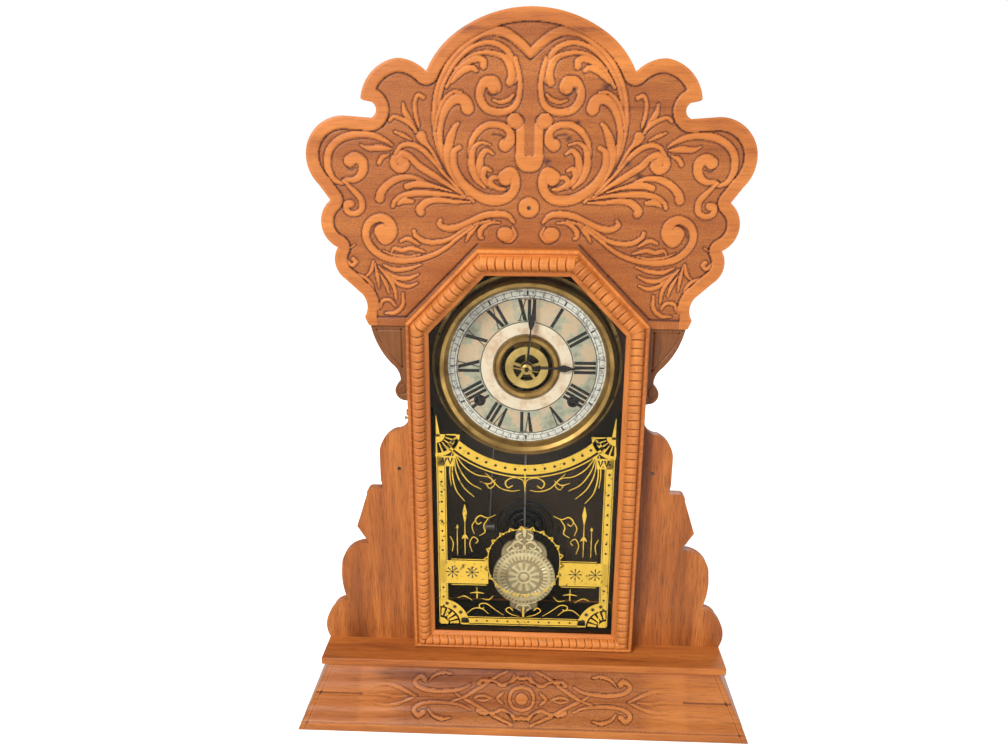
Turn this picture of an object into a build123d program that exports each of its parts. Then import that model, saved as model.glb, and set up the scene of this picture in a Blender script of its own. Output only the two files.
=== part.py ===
from build123d import *
import os
from math import atan2, cos, degrees, hypot, pi, radians, sin, sqrt

# Spring-driven oak shelf clock. X to the right, Y to the back, Z up, origin under the middle of the base.

os.makedirs("parts", exist_ok=True)

# Overall size
overall_height = 572.0
overall_depth = 130.0

# Base: ogee front, slanted ends and deck
base_half_width = 189.6
base_splay = 22.6
base_height = 47.3
base_end_thickness = 10.0
moulding_top_front = -36.0
moulding_top_back = -25.0
moulding_foot_back = -45.0
deck_thickness = 6.5
deck_overhang = 5.6
deck_front = -40.5

# Case boards
board_front = -9.0
board_thickness = 8.0
case_half_width = 93.0
case_side_thickness = 8.5
case_top_drop = 0.7
case_top_thickness = 8.0
back_board_thickness = 6.0
corbel_setback = 3.0
corbel_thickness = 8.0
crest_half_width = 166.4
crest_drop = 4.9
crest_lap = 9.5

# Door
door_overlap = 1.6
door_lift = 1.2
door_top = 402.7
door_shoulder_drop = 57.9
door_top_half_width = 38.5
door_gap = 0.6
door_thickness = 17.0
stile_width = 18.0
bottom_rail_width = 15.5
top_rail_width = 20.5
slope_rail_width = 18.5
rebate_width = 4.5
glass_setback = 8.0
glass_thickness = 2.0
glass_play = 0.3
strip_depth = 4.0
strip_width = 3.8

# Hinges and latch
hinge_rise = 56.2
hinge_drop = 44.8
hinge_height = 24.0
hinge_leaf_thickness = 0.8
hinge_leaf_edge = 1.1
hinge_knuckle_radius = 1.6
hinge_knuckle_offset = 2.0
hinge_middle_half = 4.0
hinge_slit = 0.15
hinge_pin_radius = 0.7
hinge_notch_play = 0.4
hinge_screw_spread = 7.0
small_screw_radius = 0.9
small_screw_head_radius = 1.5
small_screw_head_height = 0.55
small_screw_length = 8.0
latch_pivot_y = 1.0
latch_rise = 5.0
latch_reach = 16.0
latch_drop = 1.2
latch_thickness = 1.0
latch_standoff = 2.2
latch_rest_angle = 15.0

# Fits
running = 0.05
nail_play = 0.05

# Nails and wood screws
brad_radius = 0.9
brad_head_radius = 1.5
brad_head_height = 0.3
wing_gap = 78.4
wing_nail_inset = 12.2
wing_nail_drop = 43.5
crest_nail_rise = 92.6
back_nail_margin = 20.0
back_nail_count = 4
dial_nail_radius = 0.6
dial_nail_angle = 20.0
wood_screw_radius = 1.3
wood_screw_head_radius = 2.6
wood_screw_head_height = 1.2
wood_screw_bite = 5.5
glue_block_size = 14.0
glue_block_drop = 21.5
glue_block_length = 90.0

# Dial
dial_drop = 101.2
dial_front = 13.0
pan_thickness = 0.6
bezel_side_gap = 5.5
bezel_width = 10.6
bezel_wall = 0.8
bezel_rise = 8.0
bezel_flange_depth = 3.0
bezel_flange_width = 3.0
dial_opening_radius = 21.7
inner_ring_radius = 27.5
inner_ring_rise = 2.2
winding_hole_radius = 4.0
dial_rail_edge = 3.3
dial_rail_depth = 15.0
dial_rail_half_height = 38.0

# Hands and alarm disc
hand_thickness = 0.8
minute_hand_front = 6.0
minute_hand_length = 62.0
minute_bulb = 38.5
minute_hand_bearing = 85.0
hour_hand_front = 9.2
hour_hand_length = 43.0
hour_bulb = 30.5
alarm_disc_front = 11.4
alarm_disc_radius = 17.8
alarm_window_radius = 11.4
alarm_hub_radius = 5.4
collet_radius = 4.6
hand_pin_length = 24.0
hand_pin_tilt = -9.0

# Movement frame
plate_front = 25.0
plate_thickness = 1.2
plate_half_width = 56.0
plate_drop = 65.5
plate_rise = 32.5
pillar_radius = 3.0
pillar_peg_radius = 1.5
pillar_x = 50.0
pillar_inset = 7.0
plate_screw_x = 52.0
plate_screw_inset = 20.0

# Trains
second_bearing = -13.73
great_bearing = -55.03
pinion_leaves = 8
great_teeth = 48
great_module = 1.05
second_teeth = 40
second_module = 0.95
centre_teeth = 72
centre_module = 0.55
third_teeth = 90
third_module = 0.44
escape_teeth = 42
escape_radius = 13.0
escape_thickness = 1.0
escape_drop = 17.0
cannon_teeth = 12
minute_wheel_teeth = 36
motion_module = 0.6
minute_pinion_teeth = 10
hour_wheel_teeth = 40
wheel_thickness = 1.2
great_thickness = 1.6
winding_arbor_radius = 2.6
ratchet_teeth = 16
ratchet_radius = 8.0
centre_arbor_radius = 1.2
light_arbor_radius = 0.9
pivot_radius = 0.6
cannon_radius = 2.2
hour_pipe_radius = 3.0

# Mainsprings
spring_strip = 0.45
spring_pitch = 1.7
spring_half_turns = 22
spring_inner_radius = 4.6
spring_end_gap = 1.4

# Pendulum, verge, hammer and gong
pivot_drop = 20.5
rod_y = 20.0
rod_radius = 0.8
strip_thickness = 0.2
strip_depth_y = 2.4
bob_floor_gap = 8.4
bob_radius = 28.2
bob_thickness = 2.2
bob_rise = 48.8
bob_drop = 40.8
hammer_x = -28.0
hammer_inset = 7.0
hammer_y = 48.0
hammer_wire_radius = 0.8
hammer_head_radius = 3.6
hammer_head_length = 10.0
gong_height = 137.0
gong_y = 48.0
gong_wire_radius = 1.1
gong_first_radius = 8.0
gong_pitch = 6.0
gong_half_turns = 8
gong_post_radius = 6.0
gong_foot_radius = 17.0
gong_foot_thickness = 3.0
gong_clearance = 1.2

# Places that follow from the sizes above
case_back = overall_depth / 2
base_front = -overall_depth / 2
deck_top = base_height + deck_thickness
base_top_half_width = base_half_width - base_splay
deck_half_width = base_top_half_width + deck_overhang
case_top_height = door_top - case_top_drop
door_half_width = case_half_width + door_overlap
door_shoulder = door_top - door_shoulder_drop
crest_bottom = door_shoulder - crest_drop
wing_top = crest_bottom - wing_gap
hinge_heights = (deck_top + hinge_rise, door_shoulder - hinge_drop)
latch_pivot_height = wing_top + latch_rise
dial_height = door_top - dial_drop
board_back = board_front + board_thickness
case_inner = case_half_width - case_side_thickness
back_board_front = case_back - back_board_thickness
case_roof = case_top_height + case_top_thickness
door_back = board_front - door_gap
door_front = door_back - door_thickness
door_bottom = deck_top + door_lift
glass_front = door_front + glass_setback
glass_back = glass_front + glass_thickness
end_slope = base_splay / base_height
hinge_x = case_half_width + hinge_knuckle_offset
hinge_y = board_front - door_gap / 2
pan_back = dial_front + pan_thickness
bezel_flange_radius = case_inner - bezel_side_gap
bezel_outer_radius = bezel_flange_radius - bezel_flange_width
bezel_inner_radius = bezel_outer_radius - bezel_width
flange_front = dial_front + bezel_flange_depth
flange_back = flange_front + bezel_wall
plate_back = plate_front + plate_thickness
rear_plate_back = back_board_front
rear_plate_front = rear_plate_back - plate_thickness
plate_bottom = dial_height - plate_drop
plate_top = dial_height + plate_rise
pivot_height = dial_height - pivot_drop
escape_height = pivot_height - escape_drop
bob_bottom = deck_top + bob_floor_gap
bob_height = bob_bottom + bob_drop
bob_top = bob_height + bob_rise
hammer_height = plate_bottom + hammer_inset
dial_centre = (0.0, dial_height)
escape_centre = (0.0, escape_height)
motion_distance = motion_module * (cannon_teeth + minute_wheel_teeth) / 2
hour_module = 2 * motion_distance / (minute_pinion_teeth + hour_wheel_teeth)
minute_wheel_centre = (0.0, dial_height + motion_distance)
centre_distance = second_module * (second_teeth + pinion_leaves) / 2
great_distance = great_module * (great_teeth + pinion_leaves) / 2
second_place = (
    centre_distance * cos(radians(second_bearing)),
    dial_height + centre_distance * sin(radians(second_bearing)),
)
time_arbor = (
    second_place[0] + great_distance * cos(radians(great_bearing)),
    second_place[1] + great_distance * sin(radians(great_bearing)),
)
strike_arbor = (-time_arbor[0], time_arbor[1])


# Helpers

def facing(y):
    """Drawing plane at depth y, seen from the front: local x is X, local y is Z."""
    return Plane.XZ.offset(-y)


def round_stock(centre, radius, front, back, mode=Mode.ADD):
    """A cylinder along Y between two depths."""
    with BuildSketch(facing(back)) as section:
        with Locations(centre):
            Circle(radius)
    extrude(section.sketch, amount=back - front, mode=mode)


def bar_stock(low, high, front, back, mode=Mode.ADD):
    """A rectangular bar between two corners (x, z) and two depths."""
    middle = ((low[0] + high[0]) / 2, (low[1] + high[1]) / 2)
    with BuildSketch(facing(back)) as section:
        with Locations(middle):
            Rectangle(high[0] - low[0], high[1] - low[1])
    extrude(section.sketch, amount=back - front, mode=mode)


def cross_stock(y, z, radius, left, right, mode=Mode.ADD):
    """A cylinder along X between two x values."""
    with BuildSketch(Plane.YZ.offset(left)) as section:
        with Locations((y, z)):
            Circle(radius)
    extrude(section.sketch, amount=right - left, mode=mode)


def outline_stock(points, front, back, mode=Mode.ADD):
    """A straight-sided outline, given as (x, z) points, between two depths."""
    with BuildSketch(facing(back)) as section:
        with BuildLine():
            Polyline(*points, close=True)
        make_face()
    extrude(section.sketch, amount=back - front, mode=mode)


def inset_corners(corners, widths):
    """Corners moved inwards, each edge by its own width."""
    count = len(corners)
    moved = []
    for index in range(count):
        lines = []
        for edge in (index - 1, index):
            ax, az = corners[edge % count]
            bx, bz = corners[(edge + 1) % count]
            length = hypot(bx - ax, bz - az)
            ux, uz = (bx - ax) / length, (bz - az) / length
            width = widths[edge % count]
            lines.append((ax - uz * width, az + ux * width, ux, uz))
        (px, pz, ux, uz), (qx, qz, vx, vz) = lines
        along = ((qx - px) * vz - (qz - pz) * vx) / (ux * vz - uz * vx)
        moved.append((px + along * ux, pz + along * uz))
    return moved


def meeting_point(first, first_distance, second, second_distance, side):
    """Point at two given distances from two centres; side is 1 to the left of first-second, or -1."""
    dx, dz = second[0] - first[0], second[1] - first[1]
    span = hypot(dx, dz)
    along = (first_distance**2 - second_distance**2 + span**2) / (2 * span)
    across = sqrt(first_distance**2 - along**2) * side
    return (first[0] + (along * dx - across * dz) / span, first[1] + (along * dz + across * dx) / span)


def polar_points(centre, pairs):
    """Points (x, z) about a centre from (radius, angle) pairs."""
    return [(centre[0] + radius * cos(angle), centre[1] + radius * sin(angle)) for radius, angle in pairs]


def gear_points(centre, teeth, module, turn=0.0):
    """Outline of a stub-toothed wheel with 25 degree flanks and running backlash."""
    pitch_radius = teeth * module / 2
    tip_radius = pitch_radius + 0.7 * module
    root_radius = pitch_radius - 0.95 * module
    base_radius = pitch_radius * cos(radians(25))
    half_tooth = pi / (2 * teeth) - 0.06 * module / pitch_radius

    def flank(radius):
        """Half the tooth's angle at a radius on its involute flank."""
        def roll(r):
            ratio = max(r / base_radius, 1.0)
            angle = sqrt(ratio**2 - 1)
            return angle - atan2(angle, 1.0)
        return half_tooth + roll(pitch_radius) - roll(radius)

    levels = (root_radius, pitch_radius - 0.4 * module, pitch_radius, tip_radius)
    pairs = []
    for tooth in range(teeth):
        middle = radians(turn) + 2 * pi * tooth / teeth
        pairs += [(radius, middle - flank(radius)) for radius in levels]
        pairs += [(radius, middle + flank(radius)) for radius in reversed(levels)]
    return polar_points(centre, pairs)


def gear_stock(centre, teeth, module, front, back, turn=0.0, windows=0, rim=0.0, hub=0.0):
    """A toothed wheel between two depths, with round windows between hub and rim."""
    with BuildSketch(facing(back)) as section:
        with BuildLine():
            Polyline(*gear_points(centre, teeth, module, turn), close=True)
        make_face()
        if windows:
            inner = teeth * module / 2 - module - rim
            middle = (inner + hub) / 2
            with Locations(centre):
                with PolarLocations(middle, windows):
                    Circle(min((inner - hub) / 2, 0.85 * middle * sin(pi / windows)), mode=Mode.SUBTRACT)
    extrude(section.sketch, amount=back - front)


def mesh_turn(driver, driver_teeth, driver_turn, follower, follower_teeth):
    """Turn of the follower, in degrees, that puts a gap where the driver has a tooth."""
    bearing = degrees(atan2(follower[1] - driver[1], follower[0] - driver[0]))
    phase = (bearing - driver_turn) * driver_teeth / 360
    return bearing + 180 + (phase + 0.5) * 360 / follower_teeth


def save(piece, label):
    """Name a finished piece and write its file."""
    piece.part.label = label
    export_step(piece.part, f"parts/{label}.step")


# Base

with BuildPart() as base_front_moulding:
    with BuildSketch(Plane.YZ.offset(-base_half_width)):
        with BuildLine():
            Line((moulding_top_back, base_height), (moulding_top_front, base_height))
            ThreePointArc((moulding_top_front, base_height), (-38.4, 42.2), (-43.0, 37.6))
            ThreePointArc((-43.0, 37.6), (-49.0, 32.2), (-51.6, 25.4))
            Line((-51.6, 25.4), (-50.6, 24.2))
            Line((-50.6, 24.2), (-52.0, 22.6))
            ThreePointArc((-52.0, 22.6), (-53.8, 15.6), (-58.4, 11.4))
            ThreePointArc((-58.4, 11.4), (-62.8, 8.6), (base_front, 4.6))
            Line((base_front, 4.6), (base_front, 0))
            Line((base_front, 0), (moulding_foot_back, 0))
            Line((moulding_foot_back, 0), (moulding_top_back, base_height))
        make_face()
    extrude(amount=2 * base_half_width)
    for side in (-1, 1):
        end = Plane(origin=(side * base_half_width, 0, 0), z_dir=(-side, 0, -end_slope))
        split(bisect_by=end, keep=Keep.TOP)
save(base_front_moulding, "base_front_moulding")


def base_end(side):
    """Slanted end board behind the moulding; side is -1 or 1."""
    with BuildPart() as board:
        with BuildSketch(Plane.XZ.offset(-case_back)):
            with BuildLine():
                Polyline(
                    (side * base_half_width, 0),
                    (side * base_top_half_width, base_height),
                    (side * (base_top_half_width - base_end_thickness), base_height),
                    (side * (base_half_width - base_end_thickness), 0),
                    close=True,
                )
            make_face()
        extrude(amount=case_back - moulding_foot_back)
        with BuildSketch(Plane.YZ.offset(-base_half_width)):
            with BuildLine():
                Polyline(
                    (moulding_foot_back, 0),
                    (moulding_top_back, base_height),
                    (2 * moulding_foot_back, base_height),
                    (2 * moulding_foot_back, 0),
                    close=True,
                )
            make_face()
        extrude(amount=2 * base_half_width, mode=Mode.SUBTRACT)
    return board


base_left_board = base_end(-1)
save(base_left_board, "base_left_board")
base_right_board = base_end(1)
save(base_right_board, "base_right_board")

with BuildPart() as base_deck:
    with BuildSketch(Plane.XY.offset(base_height)):
        with Locations((0, (deck_front + case_back) / 2)):
            Rectangle(2 * deck_half_width, case_back - deck_front)
    extrude(amount=deck_thickness)
    front_edges = base_deck.edges().filter_by(Axis.X).group_by(Axis.Y)[0]
    fillet(front_edges, radius=1.2)
save(base_deck, "base_deck")

# Case box. The sides carry the door hinges on the right and the latch on the left.


def small_screw_hole(x, z, length=small_screw_length):
    """Pilot hole for a small screw that enters a front edge."""
    round_stock((x, z), small_screw_radius + nail_play, board_front, board_front + length + 0.2, Mode.SUBTRACT)


leaf_outer = hinge_x - hinge_knuckle_radius - 0.2
leaf_inner = case_inner + hinge_leaf_edge
leaf_screw_x = (leaf_outer + leaf_inner) / 2
leaf_half = hinge_height / 2
back_nail_step = (case_top_height - deck_top - 2 * back_nail_margin) / (back_nail_count - 1)
back_nail_heights = [deck_top + back_nail_margin + index * back_nail_step for index in range(back_nail_count)]


def case_side(side):
    """Side board of the case box with its lap for the crest; side is -1 or 1."""
    low = min(side * case_half_width, side * case_inner)
    high = max(side * case_half_width, side * case_inner)
    with BuildPart() as board:
        bar_stock((low, deck_top), (high, case_top_height), board_front, back_board_front)
        bar_stock((low, crest_bottom), (high, case_top_height), board_front, board_back, Mode.SUBTRACT)
        for height in back_nail_heights:
            middle = ((low + high) / 2, height)
            round_stock(middle, brad_radius + nail_play, back_board_front - 14.2, back_board_front, Mode.SUBTRACT)
    return board


case_left_side = case_side(-1)
with case_left_side:
    cross_stock(latch_pivot_y, latch_pivot_height, small_screw_radius + nail_play,
                -case_half_width, -case_half_width + 6.2, Mode.SUBTRACT)
save(case_left_side, "case_left_side")

case_right_side = case_side(1)
with case_right_side:
    for height in hinge_heights:
        bar_stock((leaf_inner, height - leaf_half), (case_half_width, height + leaf_half),
                  board_front, board_front + hinge_leaf_thickness, Mode.SUBTRACT)
        for offset in (-hinge_screw_spread, hinge_screw_spread):
            small_screw_hole(leaf_screw_x, height + offset)
save(case_right_side, "case_right_side")

with BuildPart() as case_top_board:
    bar_stock((-case_half_width, case_top_height), (case_half_width, case_roof), board_back, back_board_front)
save(case_top_board, "case_top_board")

back_nails = [(side * (case_half_width + case_inner) / 2, height)
              for side in (-1, 1) for height in back_nail_heights]
gong_screws = [(side * (gong_foot_radius - 5), gong_height) for side in (-1, 1)]
plate_screws = [(side * plate_screw_x, height) for side in (-1, 1)
                for height in (plate_bottom + plate_screw_inset, plate_top - plate_screw_inset)]

with BuildPart() as back_board:
    bar_stock((-case_half_width, deck_top), (case_half_width, case_roof), back_board_front, case_back)
    for place in back_nails:
        round_stock(place, brad_radius + nail_play, back_board_front, case_back, Mode.SUBTRACT)
        round_stock(place, brad_head_radius + nail_play, case_back - brad_head_height, case_back, Mode.SUBTRACT)
    for place in plate_screws + gong_screws:
        round_stock(place, wood_screw_radius + nail_play, back_board_front, back_board_front + wood_screw_bite + 0.2, Mode.SUBTRACT)
save(back_board, "back_board")

# Door outline, shared by the sticks, the pane and the cut in the crest. Corners run
# anticlockwise from the lower left; each edge has its own stick width.

door_corners = [
    (-door_half_width, door_bottom),
    (door_half_width, door_bottom),
    (door_half_width, door_shoulder),
    (door_top_half_width, door_top),
    (-door_top_half_width, door_top),
    (-door_half_width, door_shoulder),
]
stick_widths = [bottom_rail_width, stile_width, slope_rail_width, top_rail_width, slope_rail_width, stile_width]
sight_corners = inset_corners(door_corners, stick_widths)
pane_corners = inset_corners(door_corners, [width - rebate_width + glass_play for width in stick_widths])
cut_corners = inset_corners(door_corners, [crest_lap] * 6)

# Crest, wings and corbels: scroll-cut boards drawn as the right half and mirrored.


def trace(start, steps):
    """Run of lines and arcs from a start point; a step is (end,) or (middle, end)."""
    point = start
    for step in steps:
        if len(step) == 1:
            Line(point, step[0])
        else:
            ThreePointArc(point, step[0], step[1])
        point = step[-1]


def placed(steps, origin, stretch=(1.0, 1.0)):
    """Steps moved to an origin, each point stretched along X and Z first."""
    return [tuple((origin[0] + x * stretch[0], origin[1] + z * stretch[1]) for x, z in step) for step in steps]


drawn_crest = (166.4, 232.1)
crest_outline = [
    ((27.0, 228.1), (52.8, 215.8)),
    ((65.9, 204.3), (75.7, 189.1)),
    ((85.4, 195.7), (97.0, 198.1)),
    ((114.6, 189.7), (124.3, 171.6)),
    ((124.1, 169.5),),
    ((116.4, 168.0),),
    ((113.2, 162.1), (117.4, 156.9)),
    ((137.7, 158.4),),
    ((155.5, 152.7), (166.3, 137.5)),
    ((166.5, 122.3), (158.9, 108.7)),
    ((150.7, 97.3),),
    ((158.9, 80.7), (147.0, 61.5)),
    ((149.8, 50.1), (142.4, 37.1)),
    ((132.0, 27.4),),
    ((126.1, 17.5), (128.6, 7.1)),
    ((125.4, 0.0),),
]
crest_stretch = (crest_half_width / drawn_crest[0], (overall_height - crest_bottom) / drawn_crest[1])
crest_steps = placed(crest_outline, (0.0, crest_bottom), crest_stretch) + [
    ((cut_corners[2][0], crest_bottom),),
    (cut_corners[2],),
    (cut_corners[3],),
    ((0.0, cut_corners[3][1]),),
]
crest_nail_height = crest_bottom + crest_nail_rise

with BuildPart() as crest_board:
    with BuildSketch(facing(board_back)):
        with BuildLine():
            trace((0.0, overall_height), crest_steps)
            mirror(about=Plane.YZ)
        make_face()
    extrude(amount=board_thickness)
    round_stock((0, crest_nail_height), brad_radius + nail_play, board_front, board_back, Mode.SUBTRACT)
save(crest_board, "crest_board")

drawn_wing = (79.6, 207.7)
wing_outline = [
    ((79.6, 0.0),),
    ((82.3, 12.2), (75.8, 28.9)),
    ((70.2, 35.5), (61.9, 38.0)),
    ((65.6, 54.2), (65.4, 71.2)),
    ((57.6, 88.5), (40.4, 94.0)),
    ((50.3, 110.0),),
    ((40.5, 140.2),),
    ((39.0, 144.6), (36.0, 145.8)),
    ((26.7, 145.8),),
    ((28.2, 154.2),),
    ((28.2, 177.2),),
    ((24.6, 189.6), (14.4, 198.0)),
    ((6.6, 201.2), (4.0, 205.8)),
    ((0.0, 207.7),),
    ((0.0, 0.0),),
]
wing_stretch = ((deck_half_width - case_half_width) / drawn_wing[0], (wing_top - deck_top) / drawn_wing[1])
wing_steps = placed(wing_outline, (case_half_width, deck_top), wing_stretch)
wing_nail_x = case_half_width + wing_nail_inset
wing_nail_height = wing_top - wing_nail_drop


def wing(side):
    """Scroll-cut board beside the case; side is -1 or 1."""
    with BuildPart() as board:
        with BuildSketch(facing(board_back)):
            with BuildLine(mode=Mode.PRIVATE) as half:
                trace((case_half_width, deck_top), wing_steps)
            outline = half.line if side > 0 else mirror(half.line, about=Plane.YZ, mode=Mode.PRIVATE)
            make_face(outline.edges())
        extrude(amount=board_thickness)
        round_stock((side * wing_nail_x, wing_nail_height), brad_radius + nail_play,
                    board_front, board_back, Mode.SUBTRACT)
    return board


left_wing = wing(-1)
save(left_wing, "left_wing")
right_wing = wing(1)
with right_wing:
    with BuildSketch(Plane.XY.offset(hinge_heights[0] - leaf_half - 1)) as notch:
        with Locations((hinge_x, hinge_y)):
            Circle(hinge_knuckle_radius + hinge_notch_play)
    extrude(notch.sketch, amount=hinge_height + 2, mode=Mode.SUBTRACT)
    bar_stock((case_half_width, hinge_heights[0] - leaf_half), (hinge_x, hinge_heights[0] + leaf_half),
              board_front, board_front + hinge_leaf_thickness, Mode.SUBTRACT)
save(right_wing, "right_wing")

corbel_front = board_front + corbel_setback
corbel_outline = [
    ((31.8, 0.0),),
    ((26.8, -15.7), (15.5, -32.5)),
    ((10.8, -38.3), (9.2, -43.9)),
    ((9.8, -46.9), (11.6, -49.1)),
    ((13.6, -56.5), (6.1, -63.0)),
    ((0.0, -63.9),),
    ((0.0, 0.0),),
]
corbel_steps = placed(corbel_outline, (case_half_width, crest_bottom))


def corbel(side):
    """Bracket under the crest's toe; side is -1 or 1."""
    with BuildPart() as bracket:
        with BuildSketch(facing(corbel_front + corbel_thickness)):
            with BuildLine(mode=Mode.PRIVATE) as half:
                trace((case_half_width, crest_bottom), corbel_steps)
            outline = half.line if side > 0 else mirror(half.line, about=Plane.YZ, mode=Mode.PRIVATE)
            make_face(outline.edges())
        extrude(amount=corbel_thickness)
    return bracket


left_corbel = corbel(-1)
save(left_corbel, "left_corbel")
right_corbel = corbel(1)
save(right_corbel, "right_corbel")

with BuildPart() as glue_blocks:
    for side in (-1, 1):
        low = min(side * case_half_width, side * (case_half_width + glue_block_size))
        glue_block_top = wing_top - glue_block_drop
        bar_stock((low, glue_block_top - glue_block_length), (low + glue_block_size, glue_block_top),
                  board_back, board_back + glue_block_size)
        round_stock((side * wing_nail_x, wing_nail_height), brad_radius + nail_play,
                    board_back, board_back + 8.2, Mode.SUBTRACT)
save(glue_blocks, "glue_blocks")

# Door sticks. The profile's first value runs inwards from the door's edge, the second towards
# the front; it is drawn for the stile and stretched to each stick's width.

profile_width = stile_width


def stick(index, section_maker):
    """Mitred bar along one edge of the door."""
    count = len(door_corners)
    ax, az = door_corners[index]
    bx, bz = door_corners[(index + 1) % count]
    length = hypot(bx - ax, bz - az)
    along = ((bx - ax) / length, 0, (bz - az) / length)
    inwards = (-along[2], 0, along[0])
    middle = ((ax + bx) / 2, 0, (az + bz) / 2)
    with BuildPart() as bar:
        with BuildSketch(Plane(origin=middle, x_dir=inwards, z_dir=along)):
            with BuildLine():
                section_maker(stick_widths[index])
            make_face()
        extrude(amount=length / 2 + 2 * stile_width, both=True)
        for corner in (index, (index + 1) % count):
            outer, inner = door_corners[corner], sight_corners[corner]
            normal = (-(inner[1] - outer[1]), 0, inner[0] - outer[0])
            reach = (middle[0] - outer[0]) * normal[0] + (middle[2] - outer[1]) * normal[2]
            sign = 1 if reach > 0 else -1
            mitre = Plane(origin=(outer[0], 0, outer[1]), z_dir=(sign * normal[0], 0, sign * normal[2]))
            split(bisect_by=mitre, keep=Keep.TOP)
    return bar


def moulding_section(width):
    """Bead, groove, half round and bevel, with the rebate for the pane behind."""
    scale = width / profile_width
    back, glass = -door_back, -glass_front
    rebate = width - rebate_width
    crown = -door_front
    Line((0, back), (0, 21.2))
    ThreePointArc((0, 21.2), (1.5 * scale, 23.2), (3.2 * scale, 21.6))
    Line((3.2 * scale, 21.6), (4.0 * scale, 21.0))
    ThreePointArc((4.0 * scale, 21.0), (9.4 * scale, crown), (14.4 * scale, 21.8))
    Line((14.4 * scale, 21.8), (width, glass + 1.0))
    Line((width, glass + 1.0), (width, glass))
    Line((width, glass), (rebate, glass))
    Line((rebate, glass), (rebate, back))
    Line((rebate, back), (0, back))


def strip_section(width):
    """Square strip against the rebate's wall, behind the pane."""
    wall = width - rebate_width
    Polyline((wall, -glass_back), (wall + strip_width, -glass_back),
             (wall + strip_width, -glass_back - strip_depth), (wall, -glass_back - strip_depth), close=True)


door_bottom_rail = stick(0, moulding_section)
save(door_bottom_rail, "door_bottom_rail")
door_right_slope_rail = stick(2, moulding_section)
save(door_right_slope_rail, "door_right_slope_rail")
door_top_rail = stick(3, moulding_section)
save(door_top_rail, "door_top_rail")
door_left_slope_rail = stick(4, moulding_section)
save(door_left_slope_rail, "door_left_slope_rail")

catch_height = latch_pivot_height - latch_drop
catch_y = latch_pivot_y - latch_reach
door_left_stile = stick(5, moulding_section)
with door_left_stile:
    cross_stock(catch_y, catch_height, small_screw_radius + nail_play,
                -door_half_width, -door_half_width + small_screw_length + 0.2, Mode.SUBTRACT)
save(door_left_stile, "door_left_stile")

door_right_stile = stick(1, moulding_section)
with door_right_stile:
    for height in hinge_heights:
        with BuildSketch(Plane.XY.offset(height - leaf_half - 1)) as notch:
            with Locations((hinge_x, hinge_y)):
                Circle(hinge_knuckle_radius + hinge_notch_play)
        extrude(notch.sketch, amount=hinge_height + 2, mode=Mode.SUBTRACT)
        bar_stock((leaf_inner, height - leaf_half), (hinge_x, height + leaf_half),
                  door_back - hinge_leaf_thickness, door_back, Mode.SUBTRACT)
        for offset in (-hinge_screw_spread, hinge_screw_spread):
            round_stock((leaf_screw_x, height + offset), small_screw_radius + nail_play,
                        door_back - small_screw_length - 0.2, door_back, Mode.SUBTRACT)
save(door_right_stile, "door_right_stile")

with BuildPart() as door_glass:
    outline_stock(pane_corners, glass_front, glass_back)
save(door_glass, "door_glass")

with BuildPart() as glass_strips:
    for index in range(len(door_corners)):
        add(stick(index, strip_section).part)
save(glass_strips, "glass_strips")

# Hinges: a fixed leaf with the middle knuckle and its pressed pin, and a door leaf with two knuckles.


def knuckle(low, high, radius, mode=Mode.ADD):
    """Round about the hinge axis between two heights."""
    with BuildSketch(Plane.XY.offset(low)) as section:
        with Locations((hinge_x, hinge_y)):
            Circle(radius)
    extrude(section.sketch, amount=high - low, mode=mode)


with BuildPart() as hinge_case_leaves:
    for height in hinge_heights:
        bar_stock((leaf_inner, height - leaf_half), (leaf_outer, height + leaf_half),
                  board_front, board_front + hinge_leaf_thickness)
        bar_stock((leaf_outer, height - hinge_middle_half), (hinge_x, height + hinge_middle_half),
                  board_front, board_front + hinge_leaf_thickness)
        knuckle(height - hinge_middle_half, height + hinge_middle_half, hinge_knuckle_radius)
        knuckle(height - leaf_half - 0.6, height + leaf_half + 0.6, hinge_pin_radius)
        for offset in (-hinge_screw_spread, hinge_screw_spread):
            place = (leaf_screw_x, height + offset)
            round_stock(place, small_screw_radius + nail_play, board_front, board_front + hinge_leaf_thickness, Mode.SUBTRACT)
            round_stock(place, small_screw_head_radius + nail_play, board_front, board_front + small_screw_head_height, Mode.SUBTRACT)
save(hinge_case_leaves, "hinge_case_leaves")

with BuildPart() as hinge_door_leaves:
    for height in hinge_heights:
        bar_stock((leaf_inner, height - leaf_half), (leaf_outer, height + leaf_half),
                  door_back - hinge_leaf_thickness, door_back)
        for low, high in ((-leaf_half, -hinge_middle_half - hinge_slit), (hinge_middle_half + hinge_slit, leaf_half)):
            bar_stock((leaf_outer, height + low), (hinge_x, height + high),
                      door_back - hinge_leaf_thickness, door_back)
            knuckle(height + low, height + high, hinge_knuckle_radius)
        knuckle(height - leaf_half, height + leaf_half, hinge_pin_radius + running, Mode.SUBTRACT)
        for offset in (-hinge_screw_spread, hinge_screw_spread):
            place = (leaf_screw_x, height + offset)
            round_stock(place, small_screw_radius + nail_play, door_back - hinge_leaf_thickness, door_back, Mode.SUBTRACT)
            round_stock(place, small_screw_head_radius + nail_play, door_back - small_screw_head_height, door_back, Mode.SUBTRACT)
save(hinge_door_leaves, "hinge_door_leaves")

latch_back = -case_half_width - latch_standoff
latch_face = latch_back - latch_thickness

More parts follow.
